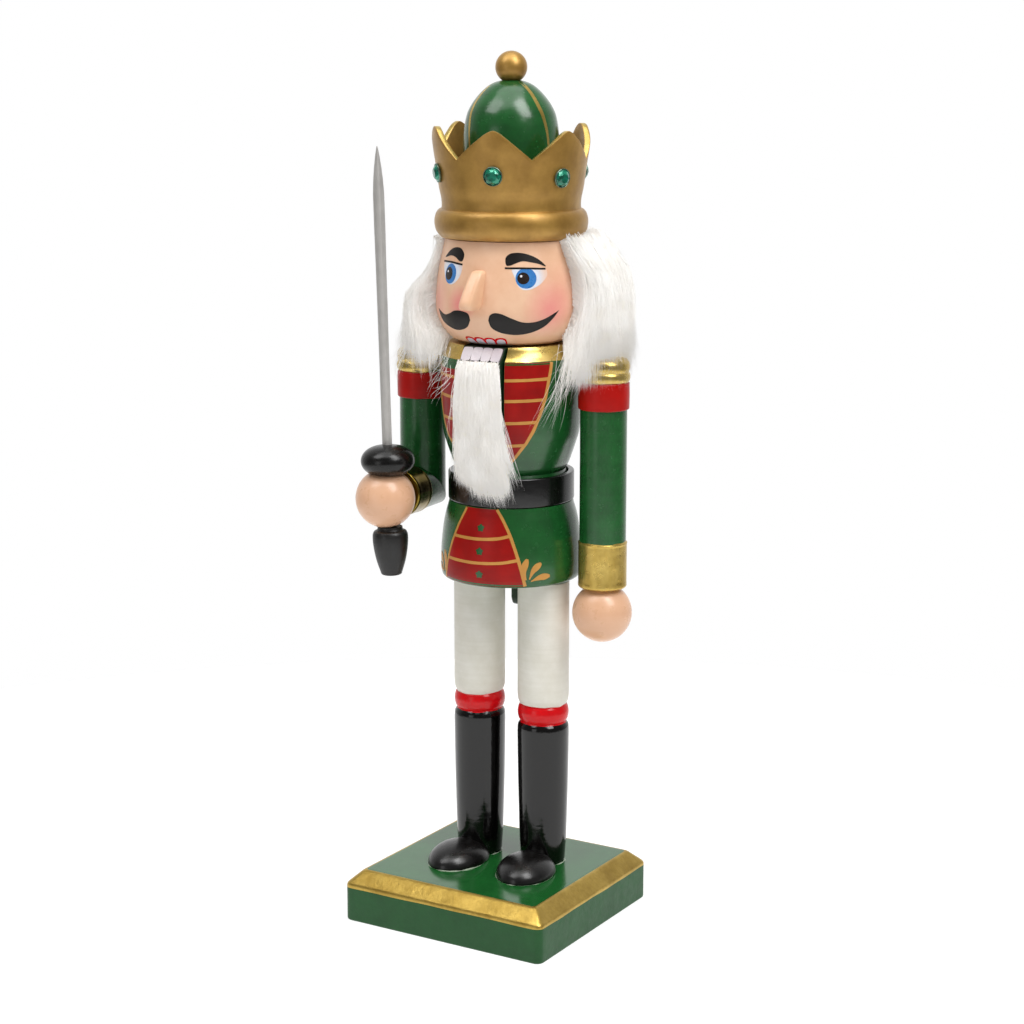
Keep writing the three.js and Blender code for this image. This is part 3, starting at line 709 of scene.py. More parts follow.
def slot_edge(z, margin=0.15):
    """Degrees from the front of the sawn slot's edge at a height."""
    return math.degrees(math.asin((SLOT_HALF + margin) / np.interp(z, CHEST.z, CHEST.r)))


def edge_at(z, edge):
    """Degrees from the front of a painted edge at a height."""
    az, heights = np.array(edge[::-1]).T
    return np.interp(z, heights, az)


LAPEL_TOP = {"left": 250.8, "right": 247.6}
LAPEL_EDGE = [(60.2, 251.0), (59.0, 247.5), (57.2, 243.5), (54.0, 236), (49.9, 229.4), (44.2, 222.0), (38.0, 216.2),
              (29.6, 210.2), (21.8, 205.6)]
BAR_HEIGHTS = (243.5, 234.7, 225.2, 215.3)


def lapel(side, sign):
    outer = [(sign * edge_at(z, LAPEL_EDGE), z) for z in np.linspace(205.8, LAPEL_TOP[side], 44)]
    wide = [(az, z) for az, z in outer if abs(az) > slot_edge(z) + 0.1]  # the two edges meet at the foot
    inner = [(sign * slot_edge(z), z) for _, z in wide]
    ring = np.array(inner[::-1] + wide if sign > 0 else wide[::-1] + inner)
    coat(f"lapel_{side}_red", CHEST, [ring], DARK_RED, 0.05)
    trims = [stripe(CHEST, outer, 1.35)]
    for z in BAR_HEIGHTS:
        near, far = sign * slot_edge(z, 0.2), sign * edge_at(z, LAPEL_EDGE)
        trims.append(stripe(CHEST, [(near, z), ((near + far) / 2, z + 0.1), (far, z + 0.3)], 1.3))
    coat(f"lapel_{side}_lines", CHEST, trims, OCHRE, 0.1, slot="gold_paint")


lapel("left", 1)
lapel("right", -1)

PANEL_LEFT = [(12.8, 187.3), (18.2, 183.4), (24.2, 177.3), (31.2, 166.4), (34.3, 160.1), (36.4, 155.6), (37.2, HEM + 1)]
PANEL_RIGHT = [(-18.6, 187.0), (-25.8, 178.2), (-31.9, 170.4), (-37.6, 161.6), (-41.0, 156.2), (-42.5, HEM + 1)]


def petal(root, tip):
    """A leaf-shaped brush mark on the skirt."""
    root, tip = np.array(root), np.array(tip)
    across = np.array((-(tip - root)[1], ((tip - root) * (SKIRT.scale, 1))[0]))
    across = across / np.hypot(across[0] * SKIRT.scale, across[1])
    body = [root, root + 0.45 * (tip - root) + 0.6 * across * (1 / SKIRT.scale, 1), tip]
    line = smooth(body, 0.8) * (SKIRT.scale, 1)
    half = 0.25 + 1.15 * np.sin(np.pi * np.linspace(0, 1, len(line)) ** 1.5 * 0.93)
    return band(line, half) / (SKIRT.scale, 1)


def skirt_panel():
    ring = loop(PANEL_RIGHT[::-1] + [(-18.4, 187.3)], [(-18.4, 187.3), (12.8, 187.3)], PANEL_LEFT,
                [PANEL_LEFT[-1], (0, HEM + 0.9), PANEL_RIGHT[-1]])
    coat("skirt_panel_red", SKIRT, [ring[::-1]], DARK_RED, 0.05)
    lines = [stripe(SKIRT, PANEL_LEFT, 1.35), stripe(SKIRT, PANEL_RIGHT, 1.15)]
    for z in (174.5, 164.1):
        left, right = edge_at(z + 1.9, PANEL_LEFT), edge_at(z, PANEL_RIGHT)
        bar = [(right, z), (right / 2, z - 0.1), (0, z), (left * 0.6, z + 0.7), (left, z + 1.9)]
        lines.append(stripe(SKIRT, bar, 1.3))
    coat("skirt_panel_lines", SKIRT, lines, OCHRE, 0.1, slot="gold_paint")
    stars = [dot(SKIRT, -0.7, z, 1.5, points=40, star=0.16) for z in (179.3, 169.2, 159.1)]
    coat("skirt_stars", SKIRT, stars, GREEN, 0.12, spacing=0.6, slot="green_paint")
    petals = [petal((37.6, 157.2), (38.6, 166.4)), petal((40.3, 157.4), (50.2, 164.3)),
              petal((41.8, 156.5), (58.2, 158.3))]
    hem_sum = edge_at(HEM + 2, PANEL_LEFT) + edge_at(HEM + 2, PANEL_RIGHT)
    petals += [np.column_stack((hem_sum - left[:, 0], left[:, 1]))[::-1] for left in petals]
    coat("skirt_petals", SKIRT, petals, OCHRE, 0.13, spacing=0.8, slot="gold_paint")


skirt_panel()

# ---- Head and face ----

HEAD_LOW, HEAD_HIGH = z_range("head")
head_side = joined(
    rounded([(21.6, HEAD_LOW), (22.8, HEAD_LOW), (25.9, 259), (28.2, 261.2)], 0.9),
    smooth([(28.2, 261.2), (29.6, 263.0), (30.9, 265.6), (32.2, 269.9), (32.5, 274.2), (32.0, 282.9), (30.6, 291.5),
            (29.1, 297.9), (28.5, HEAD_HIGH)], 0.8),
)
FACE = Turned(head_side, HEAD_LOW, HEAD_HIGH)
turned("head_painted", joined([(0, HEAD_LOW)], head_side, [(0, HEAD_HIGH)]), [(FACE_SKIN, None)], segments=192,
       slot="skin_paint")


def ink(name, ring, lift=0.1):
    coat(name, FACE, [ring], INK, lift, slot="black_paint")


def eye(side, iris, size, white, lid, brow, look):
    """An eye painted as white, blue and black spots with a white painted highlight, under a lid line, with a brow above
    it.
    """
    az, z = iris
    coat(f"eye_{side}_white", FACE, [loop(white)], eye_white(side, az, z), 0.04)
    coat(f"eye_{side}_iris", FACE, [dot(FACE, az, z, *size, points=48)], IRIS, 0.07)
    coat(f"eye_{side}_pupil", FACE, [dot(FACE, az + look, z, 2.45, size[1])], PUPIL, 0.1, slot="black_paint")
    coat(f"eye_{side}_glint", FACE, [dot(FACE, az + look - 1.6, z + 0.9, 0.5, points=16)], EYE_GLINT, 0.13,
         spacing=0.4)
    ink(f"eye_{side}_lid", stripe(FACE, lid, 0.75), 0.12)
    ink(f"brow_{side}", loop(brow, spacing=0.4))


eye("left", (37.2, 286.7), (4.25, 1.0),
    [(26.2, 290.3), (38, 290.6), (54.0, 290.1), (54.6, 288.0), (50.2, 285.0), (44.6, 283.0), (38.6, 281.9),
     (33.6, 282.2), (30.4, 284.1), (28.4, 287.2)],
    [(20.8, 290.9), (35.8, 290.8), (53.5, 290.4)],
    [(21.2, 293.2), (21.3, 295.0), (23.8, 296.5), (30.7, 297.2), (40.5, 296.3), (48.9, 294.1), (54.0, 291.4),
     (47.2, 292.6), (41.6, 293.2), (34.7, 293.7), (29.2, 292.8), (24.5, 291.9), (22.0, 292.1)],
    -2.2)
eye("right", (-29.3, 287.5), (3.75, 1.12),
    [(-16.2, 291.2), (-29, 292.0), (-42.5, 291.9), (-39.1, 287.8), (-34.0, 284.4), (-28.0, 283.0), (-21.6, 284.4),
     (-17.4, 287.2)],
    [(-16.3, 291.7), (-29.2, 292.3), (-43.2, 292.3)],
    [(-42.2, 294.0), (-35.5, 297.1), (-26.8, 298.6), (-19.8, 298.0), (-16.0, 295.6), (-16.8, 293.3), (-19.8, 293.0),
     (-25.3, 294.4), (-32.4, 295.0)],
    -1.9)

ink("moustache_left",
    loop([(8.3, 268.9), (9.5, 271.0), (12.6, 272.1), (17.5, 272.0), (26.5, 269.9), (34.5, 268.3), (42.6, 268.2),
          (50.6, 269.3), (64.0, 272.8)],
         [(64.0, 272.8), (58.1, 269.0), (52.2, 266.1), (42.7, 263.8), (32.6, 262.8), (23.6, 263.0), (15.0, 264.2),
          (9.9, 266.2), (8.3, 268.9)], spacing=0.5))
ink("moustache_right",
    loop([(-6.9, 268.7), (-7.9, 271.1), (-13.7, 272.3), (-21.9, 272.2), (-28.0, 270.8), (-35.4, 270.0), (-46.8, 271.9)],
         [(-46.8, 271.9), (-42.2, 267.2), (-32.7, 264.7), (-21.9, 263.8), (-10.6, 265.8), (-6.9, 268.7)], spacing=0.5))

MOUTH_FROM, MOUTH_TO, MOUTH_LOW, MOUTH_HIGH = -19.2, 21.6, 258.1, 261.3


def tooth_arch(middle, foot, shoulder, drop, dip):
    """The outline of an upper tooth, or of the lip round it; foot holds how far its lower corners reach."""
    first, left, right = foot
    side, top = MOUTH_HIGH - drop, MOUTH_HIGH - dip
    return loop([(middle - first, MOUTH_LOW), (middle - shoulder, side), (middle, top), (middle + shoulder, side),
                 (middle + right, MOUTH_LOW)], [(middle + right, MOUTH_LOW), (middle - left, MOUTH_LOW)])[::-1]


gums, teeth = [], []
wide = (MOUTH_TO - MOUTH_FROM) / 8
for i in range(4):
    middle = MOUTH_FROM + (2 * i + 1) * wide
    gums.append(tooth_arch(middle, (wide * 1.08, wide * 1.12, wide * 1.12), wide, 0.9, 0))
    teeth.append(tooth_arch(middle, (wide * 0.86, wide * 0.86, wide * 0.86), wide * 0.7, 1.4, 0.7))
coat("mouth_upper_lip", FACE, gums, BEAD_RED, 0.1, spacing=0.8)
coat("mouth_upper_teeth", FACE, teeth, TOOTH, 0.18, spacing=0.7, slot="white_paint")

NOSE_LEAN = 0.15  # millimetres sideways for each one down


def nose():
    """A wedge of wood, rounded over its ridge and tip, standing out further towards the tip."""
    outline = smooth([(273.2, 35.4, 2.2), (273.35, 38.4, 2.7), (273.8, 40.3, 3.2), (274.8, 41.4, 3.6),
                      (276.6, 41.4, 3.7), (280, 39.9, 3.6), (285, 37.2, 3.4), (287.6, 35.5, 3.2), (289.0, 34.2, 2.7),
                      (289.7, 32.6, 1.8)], 0.5)
    levels = []
    for z, out, half in outline:
        back = np.interp(z, FACE.z, FACE.r) - 2.0
        depth = max(1.2, out - back)
        level = []
        for a in np.linspace(math.pi, 0, 28):
            x = half * math.copysign(abs(math.cos(a)) ** 0.42, math.cos(a))
            level.append((x - NOSE_LEAN * (288 - z), -(back + depth * abs(math.sin(a)) ** 0.5), z))
        levels.append(level)
    piece("nose_painted", *tube(levels), [NOSE_SKIN], slot="skin_paint", angle=60)


nose()

# ---- Jaw lever and lower teeth ----

LEVER_HALF = 9.6
JAW_TOP, JAW_STEP = np.array((-26.0, COLLAR_TOP - 0.1)), np.array((-30.3, 251.7))
lever_outline = rounded(
    [(1, COLLAR_TOP - 0.1), JAW_TOP, JAW_STEP, (-30.3, 228), (-25, 222), (4, 214), (19.5, 196),
     (19.5, 137), (21, 134.2), (24, 133), (27, 134.2), (28.5, 137), (28.5, 208), (27, 222), (20, 235), (8, 247),
     (-4, COLLAR_TOP - 0.1), (-3, COLLAR_TOP - 0.1)], 0.9, 3)[1:-1]
lever_outline = [tuple(p) for p in lever_outline if not (p[0] > -4 and p[1] > COLLAR_TOP - 0.2)]
lever = piece("jaw_lever_painted", *extruded(lever_outline, LEVER_HALF), [DARK_GREEN], body="lever",
              slot="green_paint")
soften(lever, 0.4, 50)

JAW_LENGTH = float(np.linalg.norm(JAW_TOP - JAW_STEP))
JAW = Flat((0, *JAW_STEP), (1, 0, 0), (0, *(JAW_TOP - JAW_STEP) / JAW_LENGTH))
line_corners = [(-9.4, -0.1), (9.4, -0.1), (9.4, JAW_LENGTH - 0.15), (-9.4, JAW_LENGTH - 0.15)]
mouth_line = loop(*zip(line_corners, line_corners[1:] + line_corners[:1]))
coat("jaw_mouth_line", JAW, [mouth_line], BROWN, 0.05, body="lever")
tooth_rings = []
for left in (-9.25 + i * 4.65 for i in range(4)):
    right = left + 4.3
    tooth_rings.append(loop([(left + 0.15, 0.0), (right - 0.15, 0.0), (right, 0.8), (right, JAW_LENGTH - 1.0),
                             (right - 0.4, JAW_LENGTH - 0.55), (left + 0.4, JAW_LENGTH - 0.55),
                             (left, JAW_LENGTH - 1.0), (left, 0.8)], spacing=0.5))
coat("jaw_teeth", JAW, tooth_rings, TOOTH, 0.22, spacing=1.0, body="lever", slot="white_paint")

# ---- Crown, gems, cap and ball ----

CROWN_LOW, CROWN_HIGH = z_range("crown_cup")
CROWN_POINTS = 6
CROWN_VALLEY, CROWN_FLOOR = 335.3, 318.5
CROWN_PLACE = FIGURE @ spin(11.3)
# The points were sawn by hand: degrees round the crown and millimetres up from the even place of each.
POINT_OFF = ((1.3, -0.9), (0, -1.1), (5.5, 1.1), (0, 0.8), (0, 1.9), (0, 0.4))
POINT_FLAT = (2.2, 2.2, 4.4, 2.2, 2.6, 3.0)  # half the width of each point's flat tip, in degrees
# Each stone was glued on by hand: degrees round the crown and millimetres up from its even place.
GEM_OFF = ((0.8, 0.1), (-4.4, -0.9), (1.2, 0.4), (-0.8, -0.5), (1.5, 0.6), (0.3, 0.5))
GEM_SEAT, GEM_Z, GEM_TILT = 32.4, 328.7, 8


def crown_rim():
    """The angles round the rim, and how far it lies below the points' even height at each."""
    step = 360 / CROWN_POINTS
    corners = []
    for k, m in pairs(CROWN_POINTS):
        (turn, up), (next_turn, next_up) = POINT_OFF[k], POINT_OFF[m]
        corners += [(k * step + a, h) for a, h in (
            (turn, -up), (turn + POINT_FLAT[k], -up), (step / 2, CROWN_HIGH - CROWN_VALLEY),
            (step + next_turn - POINT_FLAT[m], -next_up))]
    fine, drop = [], []
    for (a, h0), (b, h1) in zip(corners, [*corners[1:], (360 + corners[0][0], corners[0][1])]):
        steps = max(1, round((b - a) / 1.4))
        t = np.arange(steps) / steps
        fine.extend(a + (b - a) * t)
        drop.extend(h0 + (h1 - h0) * t)
    drop = np.array(drop)
    worn = sum(np.roll(drop, k) for k in range(-3, 4)) / 7
    return np.radians(fine), np.where(drop < 2.6, worn, drop)


def crown():
    outer = joined(
        rounded([(28.9, CROWN_LOW), (29.8, CROWN_LOW), (30.9, 302.6)], 0.4),
        smooth([(30.9, 302.6), (32.3, 304.6), (33.0, 307.6), (32.9, 310.0), (32.1, 312.4), (30.9, 313.7),
                (30.0, 314.0)], 0.5),
        smooth([(30.0, 314.0), (29.85, 315), (30, 318), (31, 323), (32.4, 333), (33.2, 338)], 1.2),
        smooth([(33.2, 338), (33.8, 343), (33.9, CROWN_HIGH)], 1.2),
    )
    inner = smooth([(27.6, CROWN_FLOOR), (28.4, 323), (29.8, 333), (30.9, 340), (31.3, CROWN_HIGH)], 1.5)
    angles, drop = crown_rim()
    top = CROWN_HIGH - drop + 0.1 * ripple(angles, 2.0, 14)
    split = CROWN_FLOOR + 4
    rim_out, rim_in = (np.interp(top, wall[:, 1], wall[:, 0]) for wall in (outer, inner))
    rings = [(np.full(len(top), r), z) for r, z in outer[outer[:, 1] < split]]
    for share in np.linspace(0, 1, 12):
        z = split + share * (top - 0.35 - split)
        rings.append((np.interp(z, outer[:, 1], outer[:, 0]), z))
    rings += [(rim_out - inset, top - down) for inset, down in ((0.08, 0.12), (0.3, 0.0))]
    # The sawn top of the rim takes the bright gold as a painted highlight, since it faces up to the light.
    lit_top_from = len(rings) - 1
    rings += [(rim_in + inset, top - down) for inset, down in ((0.3, 0.0), (0.08, 0.12), (0.0, 0.35))]
    for share in np.linspace(1, 0, 9)[1:]:
        z = CROWN_FLOOR + share * (top - 0.35 - CROWN_FLOOR)
        rings.append((np.interp(z, inner[:, 1], inner[:, 0]), z))
    rows = [0, 0] + [int(index == lit_top_from) for index in range(len(rings) - 1) for _ in top]
    piece("crown_painted", *tube([around(r, angles, z) for r, z in rings]), [GOLD, BRIGHT_GOLD], rows, CROWN_PLACE,
          nodes=("crown_cup",), slot="gold_paint", angle=40)


def gem(index):
    """A round faceted stone in a thin metal cup."""
    sides, verts = 8, []
    rings = [(3.75, -0.4, 0.0), (3.75, 0.35, 0.0), (3.0, 1.05, 0.5), (2.0, 1.75, 0.0)]
    for r, z, offset in rings:
        a = (np.arange(sides) + offset) * 2 * math.pi / sides
        verts.append(np.column_stack((r * np.cos(a), r * np.sin(a), np.full(sides, z))))
    faces = [list(range(sides))[::-1], list(range(3 * sides, 4 * sides))]
    for level, ((*_, before), (*_, after)) in enumerate(zip(rings, rings[1:])):
        for k, m in pairs(sides):
            a, b, c, d = (level * sides + i for i in (k, m, sides + m, sides + k))
            if before == after:
                faces.append([a, b, c, d])
            else:
                faces += [[a, b, d], [b, c, d]] if before < after else [[a, b, c], [a, c, d]]
    off_az, off_z = GEM_OFF[index]
    seat = Matrix.Translation((0, -GEM_SEAT * MM, (GEM_Z + off_z) * MM))
    place = CROWN_PLACE @ spin(index * 360 / CROWN_POINTS + off_az) @ seat @ spin(90 + GEM_TILT, "X")
    piece(f"gem_{index + 1}_stone", np.vstack(verts), faces, [GEM], place=place, nodes=(f"gem_{index + 1}",),
          slot="gem", angle=5)
    cup = rounded([(0, -0.5), (4.0, -0.5), (4.15, 0.25), (3.9, 0.55), (3.72, 0.3), (3.72, -0.42), (0, -0.42)], 0.1, 2)
    turned(f"gem_{index + 1}_cup", cup, [(GEM_CUP, None)], segments=48, place=place, slot="silver_paint")


crown()
for number in range(CROWN_POINTS):
    gem(number)

DOME_LOW, DOME_TOP = z_range("cap_dome")
dome_side = smooth([(16.6, DOME_LOW), (18.8, 323), (20.1, 331), (20.5, 339), (20.2, 346.8), (18.9, 353.5),
                    (17.5, 356.6), (15.4, 359.8), (12.3, 363.3), (9.0, 365.9), (5.4, 367.4), (2.4, DOME_TOP)], 0.8)
turned("cap_dome_painted", joined([(0, DOME_LOW)], dome_side, [(0, DOME_TOP)]), [(GREEN, None)], segments=144,
       slot="green_paint")
DOME = Turned(dome_side[dome_side[:, 1] < 367.2], DOME_LOW, DOME_TOP)


def dome_line(turn):
    """A thin gold line down the cap, bowing a little towards one side."""
    az, z = smooth([(60, 367), (64.5, 363), (67, 358), (70, 353), (73, 348), (75, 343), (76.5, 337), (77, 330),
                    (77, 325)], 0.8).T
    width = np.interp(z, (322, 346, 356, 366), (0.35, 1.4, 2.0, 1.8)) * (1 + 0.12 * ripple(z / 9, turn))
    half = np.degrees(width / 2 / np.interp(z, DOME.z, DOME.r))
    return np.vstack((np.column_stack((az + turn - half, z)), np.column_stack((az + turn + half, z))[::-1]))


coat("cap_dome_lines", DOME, [dome_line(turn) for turn in (0, -109, -233)], CUFF_GOLD, 0.06, spacing=2.0,
     slot="gold_paint")

BALL_R, BALL_Z = 6.8, 373.2
ball_from = math.asin((DOME_TOP - 0.15 - BALL_Z) / BALL_R)
ball_profile = [(BALL_R * math.cos(t), BALL_Z + BALL_R * math.sin(t)) for t in np.linspace(ball_from, math.pi / 2, 40)]
ball_profile[-1] = (0, BALL_Z + BALL_R)
turned("finial_ball_painted", joined([(0, DOME_TOP - 0.15)], ball_profile), [(GOLD, None)], segments=80,
       slot="gold_paint")

# ---- Arms and hands ----

ARM_X, ARM_TOP, SLEEVE_R, HAND_R = 43.9, 252.6, 10.1, 13.0
ELBOW_Z, CUFF_R = 189.6, 10.5
LEFT_CUFF, LEFT_HAND_Z = (151.8, 172.2), 140.4
FORE_CUFF, FORE_HAND = (8.1, 23.2), 34.8
BAND = (229.8, 241.6)

shoulder = joined(
    rounded([(SLEEVE_R, BAND[0]), (11.0, BAND[0] + 0.3), (11.1, 236), (11.0, BAND[1] - 0.4), (10.5, BAND[1])], 0.5),
    smooth([(10.5, BAND[1]), (11.1, 242.6), (11.3, 243.9), (11.1, 245.2), (10.6, 246.0)], 0.4),
    smooth([(10.6, 246.0), (11.0, 247.2), (11.1, 248.6), (10.8, 250.0), (9.8, 251.3), (8.2, 252.2), (6.5, ARM_TOP)],
           0.4),
    [(0, ARM_TOP)],
)


def ball_side(r, centre, low, high):
    """The side of a ball between two heights."""
    t0, t1 = (math.asin(max(-1, min(1, (z - centre) / r))) for z in (low, high))
    side = [(r * math.cos(t), centre + r * math.sin(t)) for t in np.linspace(t0, t1, 48)]
    return [(0, side[0][1])] + [p for p in side if p[0] > 0.05] + [(0, side[-1][1])]


arm_zones = [(GREEN, BAND[0] + 0.15), (RED, BAND[1]), (BRIGHT_GOLD, None)]
arm_wavy = [(BAND[0] + 0.15, 0.1, 0.9), (BAND[1], 0.25, 1.9)]
start, end = LEFT_CUFF
left_cuff = rounded([(0, start), (9.9, start), (CUFF_R + 0.1, start + 0.8), (CUFF_R, start + 3), (CUFF_R, end - 1.2),
                     (CUFF_R + 0.25, end - 0.4), (SLEEVE_R, end)], 0.5)
turned("arm_left_painted", joined(left_cuff, [(SLEEVE_R, z) for z in np.arange(175, 229, 6.0)], shoulder),
       [(CUFF_GOLD, end + 0.3), *arm_zones], [*arm_wavy, (end + 0.3, 0.35, 4.4)], 112, place=shifted(x=ARM_X),
       slot="green_paint")
turned("hand_left_painted", ball_side(HAND_R, LEFT_HAND_Z, 0, start - 0.15), [(SKIN, None)], segments=96,
       place=shifted(x=ARM_X), slot="skin_paint")


def mitred(middle, way):
    """Cuts the low end of a rod off at 45 degrees, a hair above the elbow's own plane."""

    def cut(verts):
        return np.column_stack((verts[:, :2], np.maximum(verts[:, 2], middle + way * verts[:, 1] + 0.15)))

    return cut


upper_profile = joined([(0, ELBOW_Z - 12), (SLEEVE_R, ELBOW_Z - 12)],
                       [(SLEEVE_R, z) for z in np.arange(ELBOW_Z + 11, 229, 5.0)], shoulder)
turned("arm_right_upper_painted", upper_profile, arm_zones, [(e, s, p + 2) for e, s, p in arm_wavy], 112,
       mitred(ELBOW_Z, -1), place=shifted(x=-ARM_X), slot="green_paint")
fore_place = shifted(x=-ARM_X, z=ELBOW_Z, turn=spin(90, "X"))  # its own z points to the front
start, end = FORE_CUFF
fore_cuff = rounded([(SLEEVE_R, start + 3), (CUFF_R + 0.25, start + 3.2), (CUFF_R, start + 4.6), (CUFF_R, end - 3),
                     (CUFF_R + 0.1, end - 0.8), (9.9, end), (0, end)], 0.5)
# Its cuff takes the darker gold, painted shade for the dark coat that it faces.
turned("forearm_right_painted", joined([(0, -12), (SLEEVE_R, -12)], fore_cuff),
       [(GREEN, start + 3), (SHADED_CUFF, None)], (), 112, mitred(0, 1), place=fore_place, slot="green_paint")
turned("hand_right_painted", ball_side(HAND_R, FORE_HAND, end + 0.15, FORE_HAND + HAND_R), [(SKIN, None)],
       segments=96, place=fore_place, slot="skin_paint")

# ---- Sword ----

SWORD_X, SWORD_LEAN = 1.8, 1.5
sword_place = shifted(x=-ARM_X + SWORD_X, y=-FORE_HAND, z=ELBOW_Z, turn=spin(-SWORD_LEAN, "Y"))
GUARD_R, GUARD_HALF, GUARD_Z, GRIP_TOP = 11.7, 6.9, 16.7, -13.7
bun = [(GUARD_R * math.cos(t) ** 0.8, GUARD_Z + GUARD_HALF * math.sin(t)) for t in np.linspace(-1.45, 1.45, 60)]
guard = turned("sword_guard_painted", joined([(0, bun[0][1])], bun, [(0, bun[-1][1])]), [(GUARD_BLACK, None)],
               segments=96, place=sword_place, slot="black_paint")
palm = lathe(ball_side(HAND_R + 0.15, 0, -20, 20), 64)
carve(guard, palm[0] - (SWORD_X, 0, 0), palm[1], place=sword_place)
grip = joined(
    [(0, GRIP_TOP - 20)],
    smooth([(3.6, GRIP_TOP - 20), (4.4, GRIP_TOP - 19.6), (4.9, GRIP_TOP - 18.2), (6.4, GRIP_TOP - 13.4),
            (7.4, GRIP_TOP - 8), (7.75, GRIP_TOP - 4), (7.55, GRIP_TOP - 1.6), (6.9, GRIP_TOP - 0.5),
            (5.8, GRIP_TOP - 0.1)], 0.7),
    smooth([(5.8, GRIP_TOP - 0.1), (5.5, GRIP_TOP + 0.6), (5.4, GRIP_TOP + 1.4)], 0.5),
    [(0, GRIP_TOP + 1.4)],
)
turned("sword_pommel_painted", grip, [(MATT_BLACK, None)], segments=80, place=sword_place, slot="black_paint")


def blade():
    """A slim blade with a ridge down each flat, widest where its point begins."""
    levels = []
    for z, share in ((19, 0.9), (60, 0.92), (100, 0.97), (118, 1.03), (131, 1.02), (137, 0.88), (142, 0.68),
                     (146.5, 0.43), (149.5, 0.21), (151, 0.07)):
        w, t = 2.7 * share, 0.85 * max(share, 0.25)
        levels.append([(x * w, y * t, z) for x, y in ((1, 0), (0.45, 0.85), (0, 1), (-0.45, 0.85), (-1, 0),
                                                      (-0.45, -0.85), (0, -1), (0.45, -0.85))])
    soften(piece("sword_blade_painted", *tube(levels), [SILVER], place=sword_place, slot="silver_paint", angle=12),
           0.12, 12)


blade()

# ---- Fur ----


def hairs(name, paths, widths, **where):
    """Thin three-sided hairs that taper to a point. paths is hairs by points by 3."""
    count, steps, _ = paths.shape
    way = np.gradient(paths, axis=1)
    way /= np.linalg.norm(way, axis=2, keepdims=True) + 1e-9
    side = np.cross(way, RNG.normal(size=(count, 1, 3)))
    side /= np.linalg.norm(side, axis=2, keepdims=True) + 1e-9
    other = np.cross(way, side)
    taper = np.sqrt(np.clip(1 - np.linspace(0, 1, steps), 0.02, 1))[None, :, None] * widths[:, None, None] / 2
    corners = [paths + taper * (math.cos(a) * side + math.sin(a) * other) for a in np.radians((0, 120, 240))]
    body = np.stack(corners, 2)[:, :-1].reshape(count, -1, 3)
    verts = np.concatenate((body, paths[:, -1:]), 1).reshape(-1, 3)
    last = (steps - 2) * 3
    pattern = [[0, 2, 1]]
    pattern += [[low + k, low + m, low + 3 + m, low + 3 + k] for low in range(0, last, 3) for k, m in pairs(3)]
    pattern += [[last + k, last + m, last + 3] for k, m in pairs(3)]
    faces = [[first + j for j in face] for first in range(0, len(verts), last + 4) for face in pattern]
    return piece(name, verts, faces, [FUR], angle=180, slot="fur", **where)


def clumped(paths, roots, share, strength):
    """Draws hairs together towards their tips in tufts."""
    count = len(paths)
    guides = RNG.choice(count, max(1, int(count * share)), replace=False)
    away = ((roots[:, None] - roots[guides][None]) ** 2).sum(2)
    own = guides[away.argmin(1)]
    pull = strength * RNG.uniform(0.5, 1.0, count)[:, None, None]
    t = np.linspace(0, 1, paths.shape[1])[None, :, None] ** 1.4
    return paths + (paths[own] - paths) * pull * t


def column(values):
    """One value for each hair, to go with the points along it."""
    return values[:, None]


def varied(sd, count, mean=0.0):
    """A random number for each hair."""
    return column(RNG.normal(mean, sd, count))


def phase(count):
    """Where each hair's waves start."""
    return column(RNG.uniform(0, 6, count))


ARM_CLEAR = 11.7  # the distance hair keeps from the middle of an arm


def off_shoulders(points):
    """Hair that would run into an arm lies over the top of it or beside it."""
    out = points.copy()
    over = ARM_TOP + 0.6
    for sign in (-1, 1):
        centre = np.array((sign * ARM_X, 0))
        flat = out[..., :2] - centre
        away = np.linalg.norm(flat, axis=-1)
        z = out[..., 2]
        hit = (away < ARM_CLEAR) & (z < over)
        up = hit & (over - z < (ARM_CLEAR - away) * 1.1)
        aside = hit & ~up
        out[..., 2] = np.where(up, over, z)
        scale = np.where(aside, ARM_CLEAR / np.maximum(away, 0.5), 1.0)[..., None]
        out[..., :2] = np.where(aside[..., None], flat * scale + centre, out[..., :2])
    return out


# How far from the axis the hair stands: a row for each angle from the front, a number for each height.
HAIR_Z = (240.0, 252.6, 259.0, 264.5, 272.0, 278.0, 282.0, 286.5, 291.0, 296.0, 300.0, 303.5, 308.5)
HAIR_OUT = {
    -292: (48.5, 48.0, 45.0, 42.6, 41.4, 40.6, 40.0, 39.2, 37.8, 36.2, 35.0, 34.2, 33.6),
    -275: (57.0, 54.5, 52.5, 51.4, 50.6, 49.5, 48.5, 47.3, 45.4, 42.8, 40.0, 37.2, 33.8),
    -244: (57.0, 55.0, 53.0, 53.0, 53.4, 53.2, 52.4, 51.4, 49.6, 46.8, 43.4, 39.6, 33.8),
    -180: (47.5, 49.0, 49.8, 50.3, 50.5, 49.5, 48.3, 46.8, 44.8, 42.6, 40.0, 37.0, 33.6),
    -120: (50.5, 50.6, 49.5, 49.6, 49.4, 47.5, 45.3, 43.0, 40.5, 38.0, 36.4, 35.0, 33.6),
    -70: (54.5, 53.5, 49.0, 47.4, 47.8, 45.9, 42.2, 37.0, 33.8, 32.6, 32.2, 32.4, 33.6),
    -59: (46.0, 49.0, 46.0, 45.4, 46.0, 44.3, 40.6, 35.9, 33.2, 32.2, 31.8, 31.6, 33.4),
}
HAIR_FROM, HAIR_TO = -291.0, -58.0  # from behind the left cheek, round the back, to the right cheek


